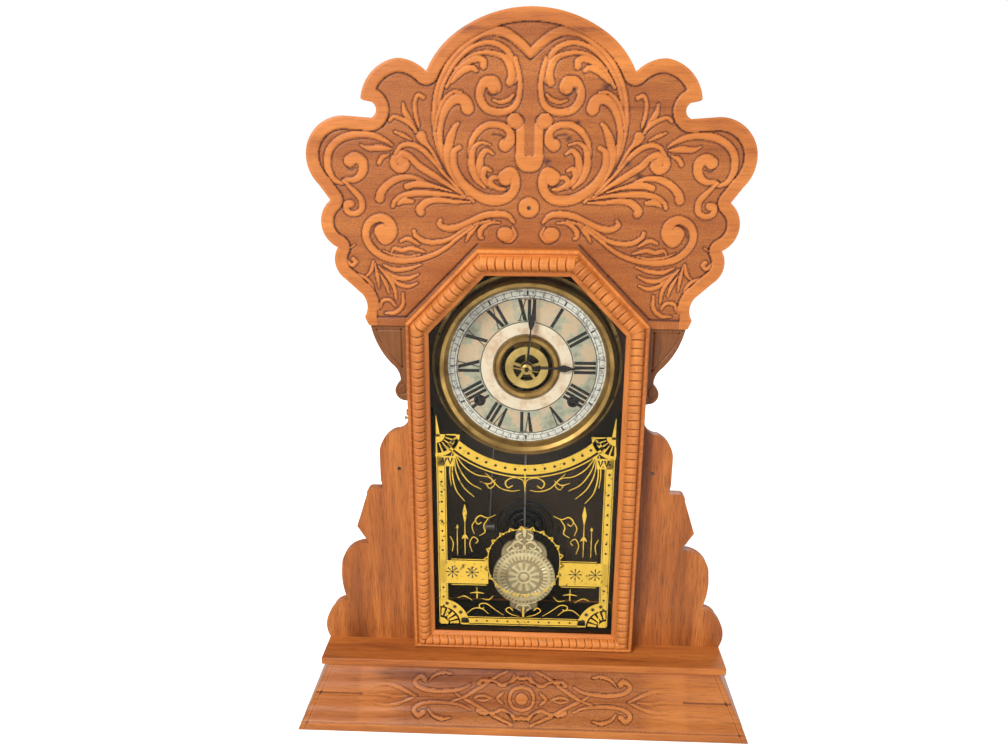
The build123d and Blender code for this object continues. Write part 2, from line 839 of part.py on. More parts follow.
with BuildPart() as brass_screws_case:
    for height in hinge_heights:
        for offset in (-hinge_screw_spread, hinge_screw_spread):
            place = (leaf_screw_x, height + offset)
            round_stock(place, small_screw_radius, board_front, board_front + small_screw_length)
            round_stock(place, small_screw_head_radius, board_front, board_front + small_screw_head_height - running)
    cross_stock(latch_pivot_y, latch_pivot_height, small_screw_radius, latch_face - 0.2, -case_half_width + 6.0)
    cross_stock(latch_pivot_y, latch_pivot_height, small_screw_head_radius,
                latch_face - 0.2 - small_screw_head_height, latch_face - 0.1)
save(brass_screws_case, "brass_screws_case")

with BuildPart() as brass_screws_door:
    for height in hinge_heights:
        for offset in (-hinge_screw_spread, hinge_screw_spread):
            place = (leaf_screw_x, height + offset)
            round_stock(place, small_screw_radius, door_back - small_screw_length, door_back)
            round_stock(place, small_screw_head_radius, door_back - small_screw_head_height + running, door_back)
    cross_stock(catch_y, catch_height, small_screw_radius, latch_face - 1.0, -door_half_width + small_screw_length)
    cross_stock(catch_y, catch_height, small_screw_head_radius, latch_face - 1.6, latch_face - 1.0)
save(brass_screws_door, "brass_screws_door")

# Latch hook, drawn latched and turned up clear of its catch screw.

tilt = radians(latch_rest_angle)
hook_plane = Plane(
    origin=(latch_back, latch_pivot_y, latch_pivot_height),
    x_dir=(0, -cos(tilt), sin(tilt)),
    z_dir=(-1, 0, 0),
)
notch_half = small_screw_radius + 0.4

with BuildPart() as latch_hook:
    with BuildSketch(hook_plane):
        Circle(2.6)
        with BuildLine():
            Polyline(
                (0, 1.7),
                (latch_reach + 2.4, 1.7),
                (latch_reach + 3.6, 0.5),
                (latch_reach + 3.6, -3.2),
                (latch_reach + notch_half, -3.2),
                (latch_reach + notch_half, 0.0),
                (latch_reach - notch_half, 0.0),
                (latch_reach - notch_half, -1.7),
                (0, -1.7),
                close=True,
            )
        make_face()
    extrude(amount=latch_thickness)
    with BuildSketch(hook_plane):
        Circle(1.9)
    extrude(amount=-(latch_standoff - running))
    with BuildSketch(hook_plane.offset(latch_thickness)):
        Circle(small_screw_radius + running)
    extrude(amount=-(latch_standoff + latch_thickness), mode=Mode.SUBTRACT)
save(latch_hook, "latch_hook")

# Dial: pan, bezel, inner ring and the rails it is nailed to.

turning_plane = Plane.XY.offset(dial_height)
dial_axis = Axis((0, 0, dial_height), (0, 1, 0))
bezel_crown = dial_front - bezel_rise
nail_ring = (bezel_outer_radius + bezel_flange_radius) / 2
dial_nails = [(sx * nail_ring * cos(radians(dial_nail_angle)),
               dial_height + sz * nail_ring * sin(radians(dial_nail_angle)))
              for sx in (-1, 1) for sz in (-1, 1)]
pan_radius = bezel_outer_radius - bezel_wall - 0.6


def spin_outline(points):
    """Turned piece about the dial's axis from (radius, y) points."""
    with BuildSketch(turning_plane) as section:
        with BuildLine():
            Polyline(*points, close=True)
        make_face()
    revolve(section.sketch, axis=dial_axis)


with BuildPart() as dial_pan:
    spin_outline([
        (dial_opening_radius, dial_front),
        (pan_radius, dial_front),
        (pan_radius, pan_back),
        (dial_opening_radius, pan_back),
    ])
    for place in (time_arbor, strike_arbor):
        round_stock(place, winding_hole_radius, dial_front, pan_back, Mode.SUBTRACT)
save(dial_pan, "dial_pan")

with BuildPart() as dial_bezel:
    wall = bezel_wall
    outer, inner, crown = bezel_outer_radius, bezel_inner_radius, bezel_crown
    lip = dial_front - running
    spin_outline([
        (bezel_flange_radius, flange_front),
        (outer, flange_front),
        (outer, crown + 5.0),
        (outer - 1.8, crown + 1.4),
        (outer - 4.6, crown),
        (inner + 3.0, crown + 1.4),
        (inner + 0.6, crown + 5.4),
        (inner, lip),
        (inner + wall, lip),
        (inner + 0.6 + wall, crown + 5.8),
        (inner + 3.4, crown + 2.2 + wall / 4),
        (outer - 4.6, crown + wall),
        (outer - 2.3, crown + 1.2 + wall),
        (outer - wall, crown + 5.3),
        (outer - wall, flange_back),
        (bezel_flange_radius, flange_back),
    ])
    for place in dial_nails:
        round_stock(place, dial_nail_radius + nail_play, flange_front, flange_back, Mode.SUBTRACT)
save(dial_bezel, "dial_bezel")

with BuildPart() as dial_inner_ring:
    bore = dial_opening_radius - 0.6
    outer, crown = inner_ring_radius, dial_front - inner_ring_rise
    spin_outline([
        (bore, pan_back + 0.4),
        (bore, crown + 1.4),
        (bore + 1.4, crown),
        (outer - 2.1, crown + 0.2),
        (outer, dial_front - running),
        (outer - 0.9, dial_front - running),
        (outer - 2.5, crown + 0.9),
        (bore + 1.7, crown + 0.8),
        (bore + 0.55, crown + 1.7),
        (bore + 0.55, pan_back + 0.4),
    ])
save(dial_inner_ring, "dial_inner_ring")

with BuildPart() as dial_rails:
    dial_rail_width = case_inner - dial_nails[-1][0] + dial_rail_edge
    for side in (-1, 1):
        low = min(side * case_inner, side * (case_inner - dial_rail_width))
        bar_stock((low, dial_height - dial_rail_half_height), (low + dial_rail_width, dial_height + dial_rail_half_height),
                  flange_back, flange_back + dial_rail_depth)
    for place in dial_nails:
        round_stock(place, dial_nail_radius + nail_play, flange_back, flange_back + 8.2, Mode.SUBTRACT)
save(dial_rails, "dial_rails")

with BuildPart() as case_nails:
    for place in [(-wing_nail_x, wing_nail_height), (wing_nail_x, wing_nail_height)]:
        round_stock(place, brad_radius, board_front, board_back + 8.0)
        round_stock(place, brad_head_radius, board_front - brad_head_height, board_front)
    round_stock((0, crest_nail_height), brad_radius, board_front, board_back)
    round_stock((0, crest_nail_height), brad_head_radius, board_front - brad_head_height, board_front)
    for place in back_nails:
        round_stock(place, brad_radius, back_board_front - 14.0, case_back)
        round_stock(place, brad_head_radius, case_back - brad_head_height + running, case_back)
    for place in dial_nails:
        round_stock(place, dial_nail_radius, flange_front, flange_back + 8.0)
        round_stock(place, 2 * dial_nail_radius, flange_front - 0.6, flange_front)
save(case_nails, "case_nails")

# Wheel depths, from the dial to the back plate

hour_wheel_front = 16.0
cannon_wheel_front = 19.5
escape_front = 22.4
centre_wheel_front = 28.0
second_wheel_front = 31.0
third_wheel_front = 33.2
great_front = 35.2
ratchet_front = 33.4
hour_pipe_back = cannon_wheel_front - 0.5

centre_place = dial_centre
third_place = meeting_point(
    centre_place, centre_module * (centre_teeth + pinion_leaves) / 2,
    escape_centre, third_module * (third_teeth + pinion_leaves) / 2, -1)
hammer_place = (hammer_x, hammer_height)

second_pinion_turn = mesh_turn(time_arbor, great_teeth, 0, second_place, pinion_leaves)
centre_pinion_turn = mesh_turn(second_place, second_teeth, 0, centre_place, pinion_leaves)
third_pinion_turn = mesh_turn(centre_place, centre_teeth, 0, third_place, pinion_leaves)
escape_pinion_turn = mesh_turn(third_place, third_teeth, 0, escape_centre, pinion_leaves)
minute_wheel_turn = mesh_turn(dial_centre, cannon_teeth, 0, minute_wheel_centre, minute_wheel_teeth)
hour_wheel_turn = mesh_turn(minute_wheel_centre, minute_pinion_teeth, 0, dial_centre, hour_wheel_teeth)

arbor_pivots = [
    (second_place, pivot_radius), (third_place, pivot_radius), (escape_centre, pivot_radius),
    (centre_place, centre_arbor_radius), (hammer_place, pivot_radius),
    (time_arbor, winding_arbor_radius), (strike_arbor, winding_arbor_radius),
]
pillar_places = [(side * pillar_x, height) for side in (-1, 1)
                 for height in (plate_bottom + pillar_inset, plate_top - pillar_inset)]


def plate_outline(front, back):
    """Brass plate with rounded corners and its pivot and pillar holes."""
    with BuildSketch(facing(back)) as section:
        with Locations((0, (plate_bottom + plate_top) / 2)):
            RectangleRounded(2 * plate_half_width, plate_top - plate_bottom, 6)
    extrude(section.sketch, amount=back - front)
    for place, radius in arbor_pivots:
        round_stock(place, radius + running, front, back, Mode.SUBTRACT)
    for place in pillar_places:
        round_stock(place, pillar_peg_radius + running, front, back, Mode.SUBTRACT)


with BuildPart() as front_plate:
    plate_outline(plate_front, plate_back)
    round_stock(minute_wheel_centre, 1.0, hour_wheel_front - 0.8, plate_front)
    round_stock(minute_wheel_centre, 2.0, cannon_wheel_front + wheel_thickness + 0.6, plate_front)
save(front_plate, "front_plate")

with BuildPart() as back_plate:
    plate_outline(rear_plate_front, rear_plate_back)
    for place in plate_screws:
        round_stock(place, wood_screw_radius + nail_play, rear_plate_front, rear_plate_back, Mode.SUBTRACT)
save(back_plate, "back_plate")

with BuildPart() as plate_pillars:
    for place in pillar_places:
        round_stock(place, pillar_radius, plate_back, rear_plate_front)
        round_stock(place, pillar_peg_radius, plate_front - 0.4, rear_plate_back)
save(plate_pillars, "plate_pillars")

gong_foot_front = back_board_front - gong_foot_thickness

with BuildPart() as wood_screws:
    for place, seat in [(place, rear_plate_front) for place in plate_screws] + [(place, gong_foot_front) for place in gong_screws]:
        round_stock(place, wood_screw_radius, seat, back_board_front + wood_screw_bite)
        round_stock(place, wood_screw_head_radius, seat - wood_screw_head_height, seat)
        bar_stock((place[0] - wood_screw_head_radius, place[1] - 0.3), (place[0] + wood_screw_head_radius, place[1] + 0.3),
                  seat - wood_screw_head_height, seat - wood_screw_head_height / 2, Mode.SUBTRACT)
save(wood_screws, "wood_screws")

# Arbors and wheels of the going train


def pivoted_arbor(place, radius, front=plate_back + 0.1, back=rear_plate_front - 0.1, pivot=pivot_radius):
    """Plain arbor between the plates with a pivot in each."""
    round_stock(place, radius, front, back)
    round_stock(place, pivot, plate_front, rear_plate_back - 0.2)


def winding_arbor(place):
    """Arbor with its winding square, ratchet wheel and spring boss."""
    with BuildPart() as arbor:
        round_stock(place, winding_arbor_radius, plate_front - 1.0, rear_plate_back - 0.2)
        bar_stock((place[0] - 1.7, place[1] - 1.7), (place[0] + 1.7, place[1] + 1.7), dial_front + 1.5, plate_front - 1.0)
        with BuildSketch(facing(ratchet_front + wheel_thickness)):
            with BuildLine():
                pairs = [(radius, 2 * pi * (tooth + share) / ratchet_teeth)
                         for tooth in range(ratchet_teeth)
                         for radius, share in ((ratchet_radius, 0.0), (ratchet_radius - 1.4, 0.06))]
                Polyline(*polar_points(place, pairs), close=True)
            make_face()
        extrude(amount=wheel_thickness)
        round_stock(place, spring_inner_radius - spring_strip - 0.4, great_front + great_thickness + 1.0,
                    rear_plate_front - 0.6)
    return arbor


time_winding_arbor = winding_arbor(time_arbor)
save(time_winding_arbor, "time_winding_arbor")
strike_winding_arbor = winding_arbor(strike_arbor)
save(strike_winding_arbor, "strike_winding_arbor")


def great_wheel(place):
    """Great wheel that turns on its winding arbor."""
    with BuildPart() as wheel:
        gear_stock(place, great_teeth, great_module, great_front, great_front + great_thickness,
                   windows=5, rim=2.5, hub=8.0)
        round_stock(place, 4.6, ratchet_front + wheel_thickness + 0.15, great_front + great_thickness + 0.8)
        round_stock(place, winding_arbor_radius + running, ratchet_front, great_front + great_thickness + 0.8,
                    Mode.SUBTRACT)
    return wheel


time_great_wheel = great_wheel(time_arbor)
save(time_great_wheel, "time_great_wheel")
strike_great_wheel = great_wheel(strike_arbor)
save(strike_great_wheel, "strike_great_wheel")

with BuildPart() as second_wheel:
    pivoted_arbor(second_place, light_arbor_radius)
    gear_stock(second_place, pinion_leaves, great_module, great_front - 0.8, great_front + great_thickness + 0.8,
               turn=second_pinion_turn)
    gear_stock(second_place, second_teeth, second_module, second_wheel_front, second_wheel_front + wheel_thickness,
               windows=5, rim=1.6, hub=4.0)
save(second_wheel, "second_wheel")

with BuildPart() as centre_arbor:
    round_stock(centre_place, centre_arbor_radius, hour_wheel_front - 0.4, rear_plate_back - 0.2)
    gear_stock(centre_place, pinion_leaves, second_module, second_wheel_front - 0.6, second_wheel_front + wheel_thickness + 0.6,
               turn=centre_pinion_turn)
    gear_stock(centre_place, centre_teeth, centre_module, centre_wheel_front, centre_wheel_front + wheel_thickness,
               windows=5, rim=1.6, hub=4.0)
save(centre_arbor, "centre_arbor")

with BuildPart() as third_wheel:
    pivoted_arbor(third_place, light_arbor_radius)
    gear_stock(third_place, pinion_leaves, centre_module, centre_wheel_front - 0.6, centre_wheel_front + wheel_thickness + 0.6,
               turn=third_pinion_turn)
    gear_stock(third_place, third_teeth, third_module, third_wheel_front, third_wheel_front + wheel_thickness,
               windows=5, rim=1.6, hub=3.6)
save(third_wheel, "third_wheel")

with BuildPart() as escape_wheel:
    round_stock(escape_centre, light_arbor_radius, plate_back + 0.1, rear_plate_front - 0.1)
    round_stock(escape_centre, pivot_radius, escape_front - 0.3, rear_plate_back - 0.2)
    gear_stock(escape_centre, pinion_leaves, third_module, third_wheel_front - 0.6, third_wheel_front + wheel_thickness + 0.6,
               turn=escape_pinion_turn)
    with BuildSketch(facing(escape_front + escape_thickness)):
        with BuildLine():
            root = escape_radius - 1.8
            pairs = [(radius, 2 * pi * (tooth + share) / escape_teeth)
                     for tooth in range(escape_teeth)
                     for radius, share in ((escape_radius, 0.0), (root, 0.25), (root, 0.9))]
            Polyline(*polar_points(escape_centre, pairs), close=True)
        make_face()
        with Locations(escape_centre):
            with PolarLocations(6.2, 5):
                Circle(2.9, mode=Mode.SUBTRACT)
    extrude(amount=escape_thickness)
save(escape_wheel, "escape_wheel")

# Motion work, hands and alarm disc

with BuildPart() as cannon_pinion:
    round_stock(dial_centre, cannon_radius, minute_hand_front + hand_thickness + 0.4, plate_front - 0.3)
    gear_stock(dial_centre, cannon_teeth, motion_module, cannon_wheel_front, cannon_wheel_front + wheel_thickness)
    bar_stock((-1.3, dial_height - 1.3), (1.3, dial_height + 1.3), minute_hand_front - 3.0, minute_hand_front + hand_thickness + 0.4)
    round_stock(dial_centre, centre_arbor_radius + running, hour_wheel_front - 0.6, plate_front - 0.3, Mode.SUBTRACT)
    pin_direction = (cos(radians(hand_pin_tilt)), 0, sin(radians(hand_pin_tilt)))
    pin_centre = Vector(0, minute_hand_front - 1.9, dial_height)
    with BuildSketch(Plane(origin=pin_centre - Vector(*pin_direction) * 4, z_dir=pin_direction)):
        Circle(0.65 + running)
    extrude(amount=8, mode=Mode.SUBTRACT)
save(cannon_pinion, "cannon_pinion")


def hand(length, bulb, swell, bearing):
    """Slim hand with a teardrop bulb, pointing from the dial's centre along a bearing in degrees."""
    with BuildSketch() as outline:
        with BuildLine():
            trace((0, 1.0), [
                ((bulb - 5.5, 0.65),),
                ((bulb - 1.5, swell * 0.85), (bulb + 0.5, swell)),
                ((bulb + 4.0, swell * 0.62), (bulb + 7.0, 0.75)),
                ((length, 0.3),),
                ((length, -0.3),),
                ((bulb + 7.0, -0.75),),
                ((bulb + 4.0, -swell * 0.62), (bulb + 0.5, -swell)),
                ((bulb - 1.5, -swell * 0.85), (bulb - 5.5, -0.65)),
                ((0, -1.0),),
                ((0, 1.0),),
            ])
        make_face()
    return outline.sketch.rotate(Axis.Z, bearing)


with BuildPart() as minute_hand:
    with BuildSketch(facing(minute_hand_front + hand_thickness)):
        with Locations(dial_centre):
            add(hand(minute_hand_length, minute_bulb, 2.6, minute_hand_bearing))
            Circle(4.2)
            Rectangle(2.7, 2.7, mode=Mode.SUBTRACT)
    extrude(amount=hand_thickness)
save(minute_hand, "minute_hand")

with BuildPart() as hour_hand:
    with BuildSketch(facing(hour_hand_front + hand_thickness)):
        with Locations(dial_centre):
            add(hand(hour_hand_length, hour_bulb, 3.0, 0))
            Circle(5.0)
            Circle(hour_pipe_radius + 0.01, mode=Mode.SUBTRACT)
    extrude(amount=hand_thickness)
save(hour_hand, "hour_hand")

with BuildPart() as hand_collet:
    spin_outline([
        (2.0, minute_hand_front),
        (collet_radius, minute_hand_front),
        (collet_radius - 0.3, minute_hand_front - 0.6),
        (collet_radius - 1.6, minute_hand_front - 1.1),
        (2.0, minute_hand_front - 1.2),
    ])
save(hand_collet, "hand_collet")

with BuildPart() as hand_pin:
    pin_start = pin_centre - Vector(*pin_direction) * (hand_pin_length * 0.56)
    with BuildSketch(Plane(origin=pin_start, z_dir=pin_direction)):
        Circle(0.6)
    with BuildSketch(Plane(origin=pin_start + Vector(*pin_direction) * hand_pin_length, z_dir=pin_direction)):
        Circle(0.4)
    loft()
save(hand_pin, "hand_pin")

with BuildPart() as hour_wheel:
    round_stock(dial_centre, hour_pipe_radius, hour_hand_front - 0.4, hour_pipe_back)
    gear_stock(dial_centre, hour_wheel_teeth, hour_module, hour_wheel_front, hour_wheel_front + wheel_thickness,
               turn=hour_wheel_turn)
    round_stock(dial_centre, cannon_radius + running, hour_hand_front - 0.4, hour_pipe_back, Mode.SUBTRACT)
save(hour_wheel, "hour_wheel")

with BuildPart() as minute_wheel:
    gear_stock(minute_wheel_centre, minute_wheel_teeth, motion_module, cannon_wheel_front, cannon_wheel_front + wheel_thickness,
               turn=minute_wheel_turn)
    gear_stock(minute_wheel_centre, minute_pinion_teeth, hour_module, hour_wheel_front - 0.3, cannon_wheel_front)
    round_stock(minute_wheel_centre, 1.0 + running, hour_wheel_front - 0.3, cannon_wheel_front + wheel_thickness, Mode.SUBTRACT)
save(minute_wheel, "minute_wheel")

with BuildPart() as alarm_disc:
    with BuildSketch(facing(alarm_disc_front + hand_thickness)):
        with Locations(dial_centre):
            Circle(alarm_disc_radius)
            Circle(alarm_window_radius, mode=Mode.SUBTRACT)
            Circle(alarm_hub_radius)
            with PolarLocations((alarm_window_radius + alarm_hub_radius) / 2, 5, start_angle=18):
                Rectangle(alarm_window_radius - alarm_hub_radius + 2, 2.4)
            Circle(hour_pipe_radius + running, mode=Mode.SUBTRACT)
    extrude(amount=hand_thickness)
save(alarm_disc, "alarm_disc")

# Mainsprings: flat spirals of half-turn arcs about two alternating centres.


def spiral_arcs(centre, first_radius, pitch, half_turns, shift=0.0):
    """Half-turn arcs that wind outwards, as (start, middle, end) points; shift moves the line outwards."""
    arcs = []
    for turn in range(half_turns):
        radius = first_radius + turn * pitch / 2 + shift
        middle_x = centre[0] + (pitch / 2 if turn % 2 else 0)
        side = 1 if turn % 2 == 0 else -1
        arcs.append((
            (middle_x + side * radius, centre[1]),
            (middle_x, centre[1] + side * radius),
            (middle_x - side * radius, centre[1]),
        ))
    return arcs


spring_front = great_front + great_thickness + spring_end_gap
spring_back = rear_plate_front - spring_end_gap

with BuildPart() as mainsprings:
    for place in (time_arbor, strike_arbor):
        inner_arcs = spiral_arcs(place, spring_inner_radius, spring_pitch, spring_half_turns)
        outer_arcs = spiral_arcs(place, spring_inner_radius, spring_pitch, spring_half_turns, spring_strip)
        with BuildSketch(facing(spring_back)):
            with BuildLine():
                for start, middle, end in inner_arcs:
                    ThreePointArc(start, middle, end)
                Line(inner_arcs[-1][2], outer_arcs[-1][2])
                for start, middle, end in reversed(outer_arcs):
                    ThreePointArc(end, middle, start)
                Line(outer_arcs[0][0], inner_arcs[0][0])
            make_face()
        extrude(amount=spring_back - spring_front)
save(mainsprings, "mainsprings")


def least_gap(arcs, thickness):
    """Smallest clear distance between neighbouring turns of a spiral, measured on points."""
    turns = []
    for (sx, sz), (mx, mz), (ex, ez) in arcs:
        centre_x, centre_z = (sx + ex) / 2, (sz + ez) / 2
        radius = hypot(sx - centre_x, sz - centre_z)
        start = atan2(sz - centre_z, sx - centre_x)
        turns.append([(centre_x + radius * cos(start + pi * step / 36), centre_z + radius * sin(start + pi * step / 36))
                      for step in range(37)])
    gaps = []
    for index in range(len(turns) - 2):
        for px, pz in turns[index]:
            gaps += [hypot(px - qx, pz - qz) for qx, qz in turns[index + 2]]
    return min(gaps) - thickness


print("mainspring least gap", round(least_gap(spiral_arcs(time_arbor, spring_inner_radius, spring_pitch, spring_half_turns), spring_strip), 2))

# Suspension, verge and pendulum

arm_bottom = pivot_height + 3.0
cock_top = pivot_height + 11.0
cock_flange = plate_front - 1.4

with BuildPart() as suspension_post:
    bar_stock((-3, pivot_height - 2.0), (3, cock_top), cock_flange, plate_front)
    bar_stock((-3, arm_bottom), (3, cock_top), rod_y - 2.0, cock_flange)
    bar_stock((-0.25, arm_bottom), (0.25, arm_bottom + 3.5), rod_y - 2.0, rod_y + 1.6, Mode.SUBTRACT)
    round_stock((0, pivot_height), 0.9, escape_front - 0.6, cock_flange)
save(suspension_post, "suspension_post")

pallet_reach = (10.9, escape_height + 9.4)
crutch_y = escape_front - 0.8

with BuildPart() as verge:
    outline_stock([
        (-pallet_reach[0] - 1.2, pallet_reach[1] + 0.7),
        (-pallet_reach[0], pallet_reach[1]),
        (-8.2, pivot_height - 2.6),
        (0, pivot_height - 1.6),
        (8.2, pivot_height - 2.6),
        pallet_reach,
        (pallet_reach[0] + 1.2, pallet_reach[1] + 0.7),
        (9.0, pivot_height - 1.0),
        (0, pivot_height + 1.4),
        (-9.0, pivot_height - 1.0),
    ], escape_front, escape_front + 1.0)
    round_stock((0, pivot_height), 2.2, escape_front - 0.5, escape_front + 1.0)
    round_stock((0, pivot_height), 0.9 + running, escape_front - 0.5, escape_front + 1.0, Mode.SUBTRACT)
    fork_height = escape_height - escape_radius - 4.0
    bar_stock((1.2, fork_height), (2.0, pivot_height), crutch_y - 0.3, crutch_y + 0.3)
    bar_stock((1.2, pivot_height - 2.0), (2.0, pivot_height - 1.0), crutch_y - 0.3, escape_front)
    bar_stock((-2.0, fork_height), (2.0, fork_height + 0.8), crutch_y - 0.3, crutch_y + 0.3)
    for side in (-1, 1):
        low = min(side * 1.2, side * 2.0)
        bar_stock((low, fork_height), (low + 0.8, fork_height + 0.8), rod_y - 1.6, crutch_y)
save(verge, "verge")

bob_front = rod_y - rod_radius - bob_thickness
strip_top = arm_bottom - 0.3
strip_bottom = pivot_height - 12.0

with BuildPart() as pendulum_rod:
    bar_stock((-strip_thickness / 2, strip_bottom), (strip_thickness / 2, strip_top),
              rod_y - strip_depth_y / 2, rod_y + strip_depth_y / 2)
    with BuildSketch(Plane.XY.offset(bob_height - 6)):
        with Locations((0, rod_y)):
            Circle(rod_radius)
    extrude(amount=strip_bottom + 4 - (bob_height - 6))
save(pendulum_rod, "pendulum_rod")

with BuildPart() as pendulum_bob:
    with BuildSketch(facing(bob_front + bob_thickness)):
        with Locations((0, bob_height)):
            Circle(bob_radius)
        with BuildLine():
            trace((-20, bob_height + 18), [
                ((-19.5, bob_height + 28), (-13.5, bob_height + 35)),
                ((-9.6, bob_height + 36.4), (-8.4, bob_height + 41)),
                ((-5.4, bob_height + 46.8), (0, bob_top)),
                ((5.4, bob_height + 46.8), (8.4, bob_height + 41)),
                ((9.6, bob_height + 36.4), (13.5, bob_height + 35)),
                ((19.5, bob_height + 28), (20, bob_height + 18)),
                ((-20, bob_height + 18),),
            ])
        make_face()
        with BuildLine():
            trace((-10, bob_height - 24), [
                ((-12.4, bob_height - 30), (-6.4, bob_height - 33)),
                ((-3.4, bob_height - 36), (0, bob_bottom)),
                ((3.4, bob_height - 36), (6.4, bob_height - 33)),
                ((12.4, bob_height - 30), (10, bob_height - 24)),
                ((-10, bob_height - 24),),
            ])
        make_face()
    extrude(amount=bob_thickness)
    with BuildSketch(facing(bob_front)):
        with Locations((0, bob_height)):
            Circle(16.0)
            Circle(13.0, mode=Mode.SUBTRACT)
            Circle(4.0)
    extrude(amount=0.8)
    with BuildSketch(Plane.XY.offset(bob_height - 6)):
        with Locations((0, rod_y)):
            Circle(rod_radius + nail_play)
    extrude(amount=bob_top - bob_height + 8, mode=Mode.SUBTRACT)
save(pendulum_bob, "pendulum_bob")

# Gong and hammer

gong_left = -(gong_first_radius + (gong_half_turns - 2) * gong_pitch / 2) - gong_wire_radius
wire_lead = 2 * gong_wire_radius
gong_arcs = spiral_arcs((0, gong_height), gong_first_radius, gong_pitch, gong_half_turns)

with BuildPart() as gong_base:
    round_stock((0, gong_height), gong_foot_radius, gong_foot_front, back_board_front)
    round_stock((0, gong_height), gong_post_radius, gong_y - 2.5, gong_foot_front)
    bar_stock((0, gong_height - wire_lead - 3.2), (gong_first_radius + 2.6, gong_height - wire_lead),
              gong_y - 2.5, gong_y + 2.5)
    for place in gong_screws:
        round_stock(place, wood_screw_radius + nail_play, gong_foot_front, back_board_front, Mode.SUBTRACT)
save(gong_base, "gong_base")

with BuildPart() as gong_coil:
    with BuildLine(facing(gong_y)) as wire:
        Line((gong_first_radius, gong_height - wire_lead), (gong_first_radius, gong_height))
        for start, middle, end in gong_arcs:
            ThreePointArc(start, middle, end)
        last = gong_arcs[-1][2]
        Line(last, (last[0], last[1] + wire_lead))
    with BuildSketch(Plane(origin=(gong_first_radius, gong_y, gong_height - wire_lead), z_dir=(0, 0, 1))):
        Circle(gong_wire_radius)
    sweep(path=wire.line)
save(gong_coil, "gong_coil")

print("gong least gap", round(least_gap(gong_arcs, 2 * gong_wire_radius), 2))

head_right = gong_left - gong_clearance
head_left = head_right - hammer_head_length
head_x = (head_left + head_right) / 2
wire_length = hypot(head_x - hammer_x, gong_height - hammer_height)

with BuildPart() as hammer:
    pivoted_arbor(hammer_place, 1.2)
    cross_stock(hammer_y, gong_height, hammer_head_radius, head_left, head_right)
    wire_direction = (head_x - hammer_x, 0, gong_height - hammer_height)
    with BuildSketch(Plane(origin=(hammer_x, hammer_y, hammer_height), z_dir=wire_direction)):
        Circle(hammer_wire_radius)
    extrude(amount=wire_length)
save(hammer, "hammer")
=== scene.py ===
"""Looks of the carved oak shelf clock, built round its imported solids."""

from math import atan2, cos, degrees, hypot, pi, radians, sin

import bmesh
import bpy
import numpy as np
from bpy.props import FloatProperty, FloatVectorProperty, PointerProperty
from mathutils import Matrix, Vector


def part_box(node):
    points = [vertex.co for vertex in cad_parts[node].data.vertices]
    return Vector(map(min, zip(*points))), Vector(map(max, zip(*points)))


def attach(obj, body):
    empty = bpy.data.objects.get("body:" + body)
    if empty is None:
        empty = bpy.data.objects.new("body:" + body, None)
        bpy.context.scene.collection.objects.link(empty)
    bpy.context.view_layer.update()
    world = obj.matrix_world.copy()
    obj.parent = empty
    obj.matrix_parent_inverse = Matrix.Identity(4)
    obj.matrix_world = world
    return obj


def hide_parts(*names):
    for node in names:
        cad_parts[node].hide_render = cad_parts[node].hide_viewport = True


bl_info = {
    "name": "Carved oak shelf clock",
    "version": (1, 0, 0),
    "blender": (4, 5, 0),
    "location": "3D View > Sidebar > Shelf Clock",
    "description": "Carved boards, door sticks, dial, tablet and finishes of a shelf clock",
    "category": "Object",
}

MM = 0.001
finishes = {}
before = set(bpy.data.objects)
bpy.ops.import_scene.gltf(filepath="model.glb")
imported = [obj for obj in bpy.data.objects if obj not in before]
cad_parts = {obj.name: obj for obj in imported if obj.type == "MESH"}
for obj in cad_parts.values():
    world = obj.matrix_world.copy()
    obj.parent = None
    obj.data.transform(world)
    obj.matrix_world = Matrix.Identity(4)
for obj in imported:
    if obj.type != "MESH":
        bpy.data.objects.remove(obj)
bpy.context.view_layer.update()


# Sizes and colours that a user would change


class ClockSettings(bpy.types.PropertyGroup):
    carving_cell: FloatProperty(
        name="Carving cell", description="Grid step of the carved boards", default=0.8 * MM, unit="LENGTH")
    ground_depth: FloatProperty(
        name="Ground depth", description="How far the stippled ground is sunk", default=1.1 * MM, unit="LENGTH")
    border_width: FloatProperty(
        name="Border width", description="Plain border along the crest's edge", default=9.3 * MM, unit="LENGTH")
    rib_pitch: FloatProperty(
        name="Rib pitch", description="Spacing of the scales on the door sticks", default=6.6 * MM, unit="LENGTH")
    # Besides the grain, the light oak colours the painted highlight laid on raised carving.
    oak_light: FloatVectorProperty(
        name="Light oak", description="Raised and rubbed oak", default=(0.85, 0.52, 0.24), subtype="COLOR")
    oak_middle: FloatVectorProperty(
        name="Middle oak", description="Body colour of the oak", default=(0.70, 0.39, 0.165), subtype="COLOR")
    # Besides the streaks, the dark oak colours the painted shade on the sunk carved ground.
    oak_dark: FloatVectorProperty(
        name="Dark oak", description="Streaks and hollows", default=(0.38, 0.17, 0.06), subtype="COLOR")
    brass_colour: FloatVectorProperty(
        name="Brass", description="Old lacquered brass", default=(0.72, 0.58, 0.32), subtype="COLOR")
    gilt_colour: FloatVectorProperty(
        name="Gilt", description="Gold paint on the tablet", default=(0.98, 0.80, 0.27), subtype="COLOR")
    lamp_power: FloatProperty(
        name="Lamp power", description="Power of the main lamp", default=41.0, unit="POWER")


def settings():
    return bpy.context.scene.shelf_clock


# Sizes in millimetres that several functions use

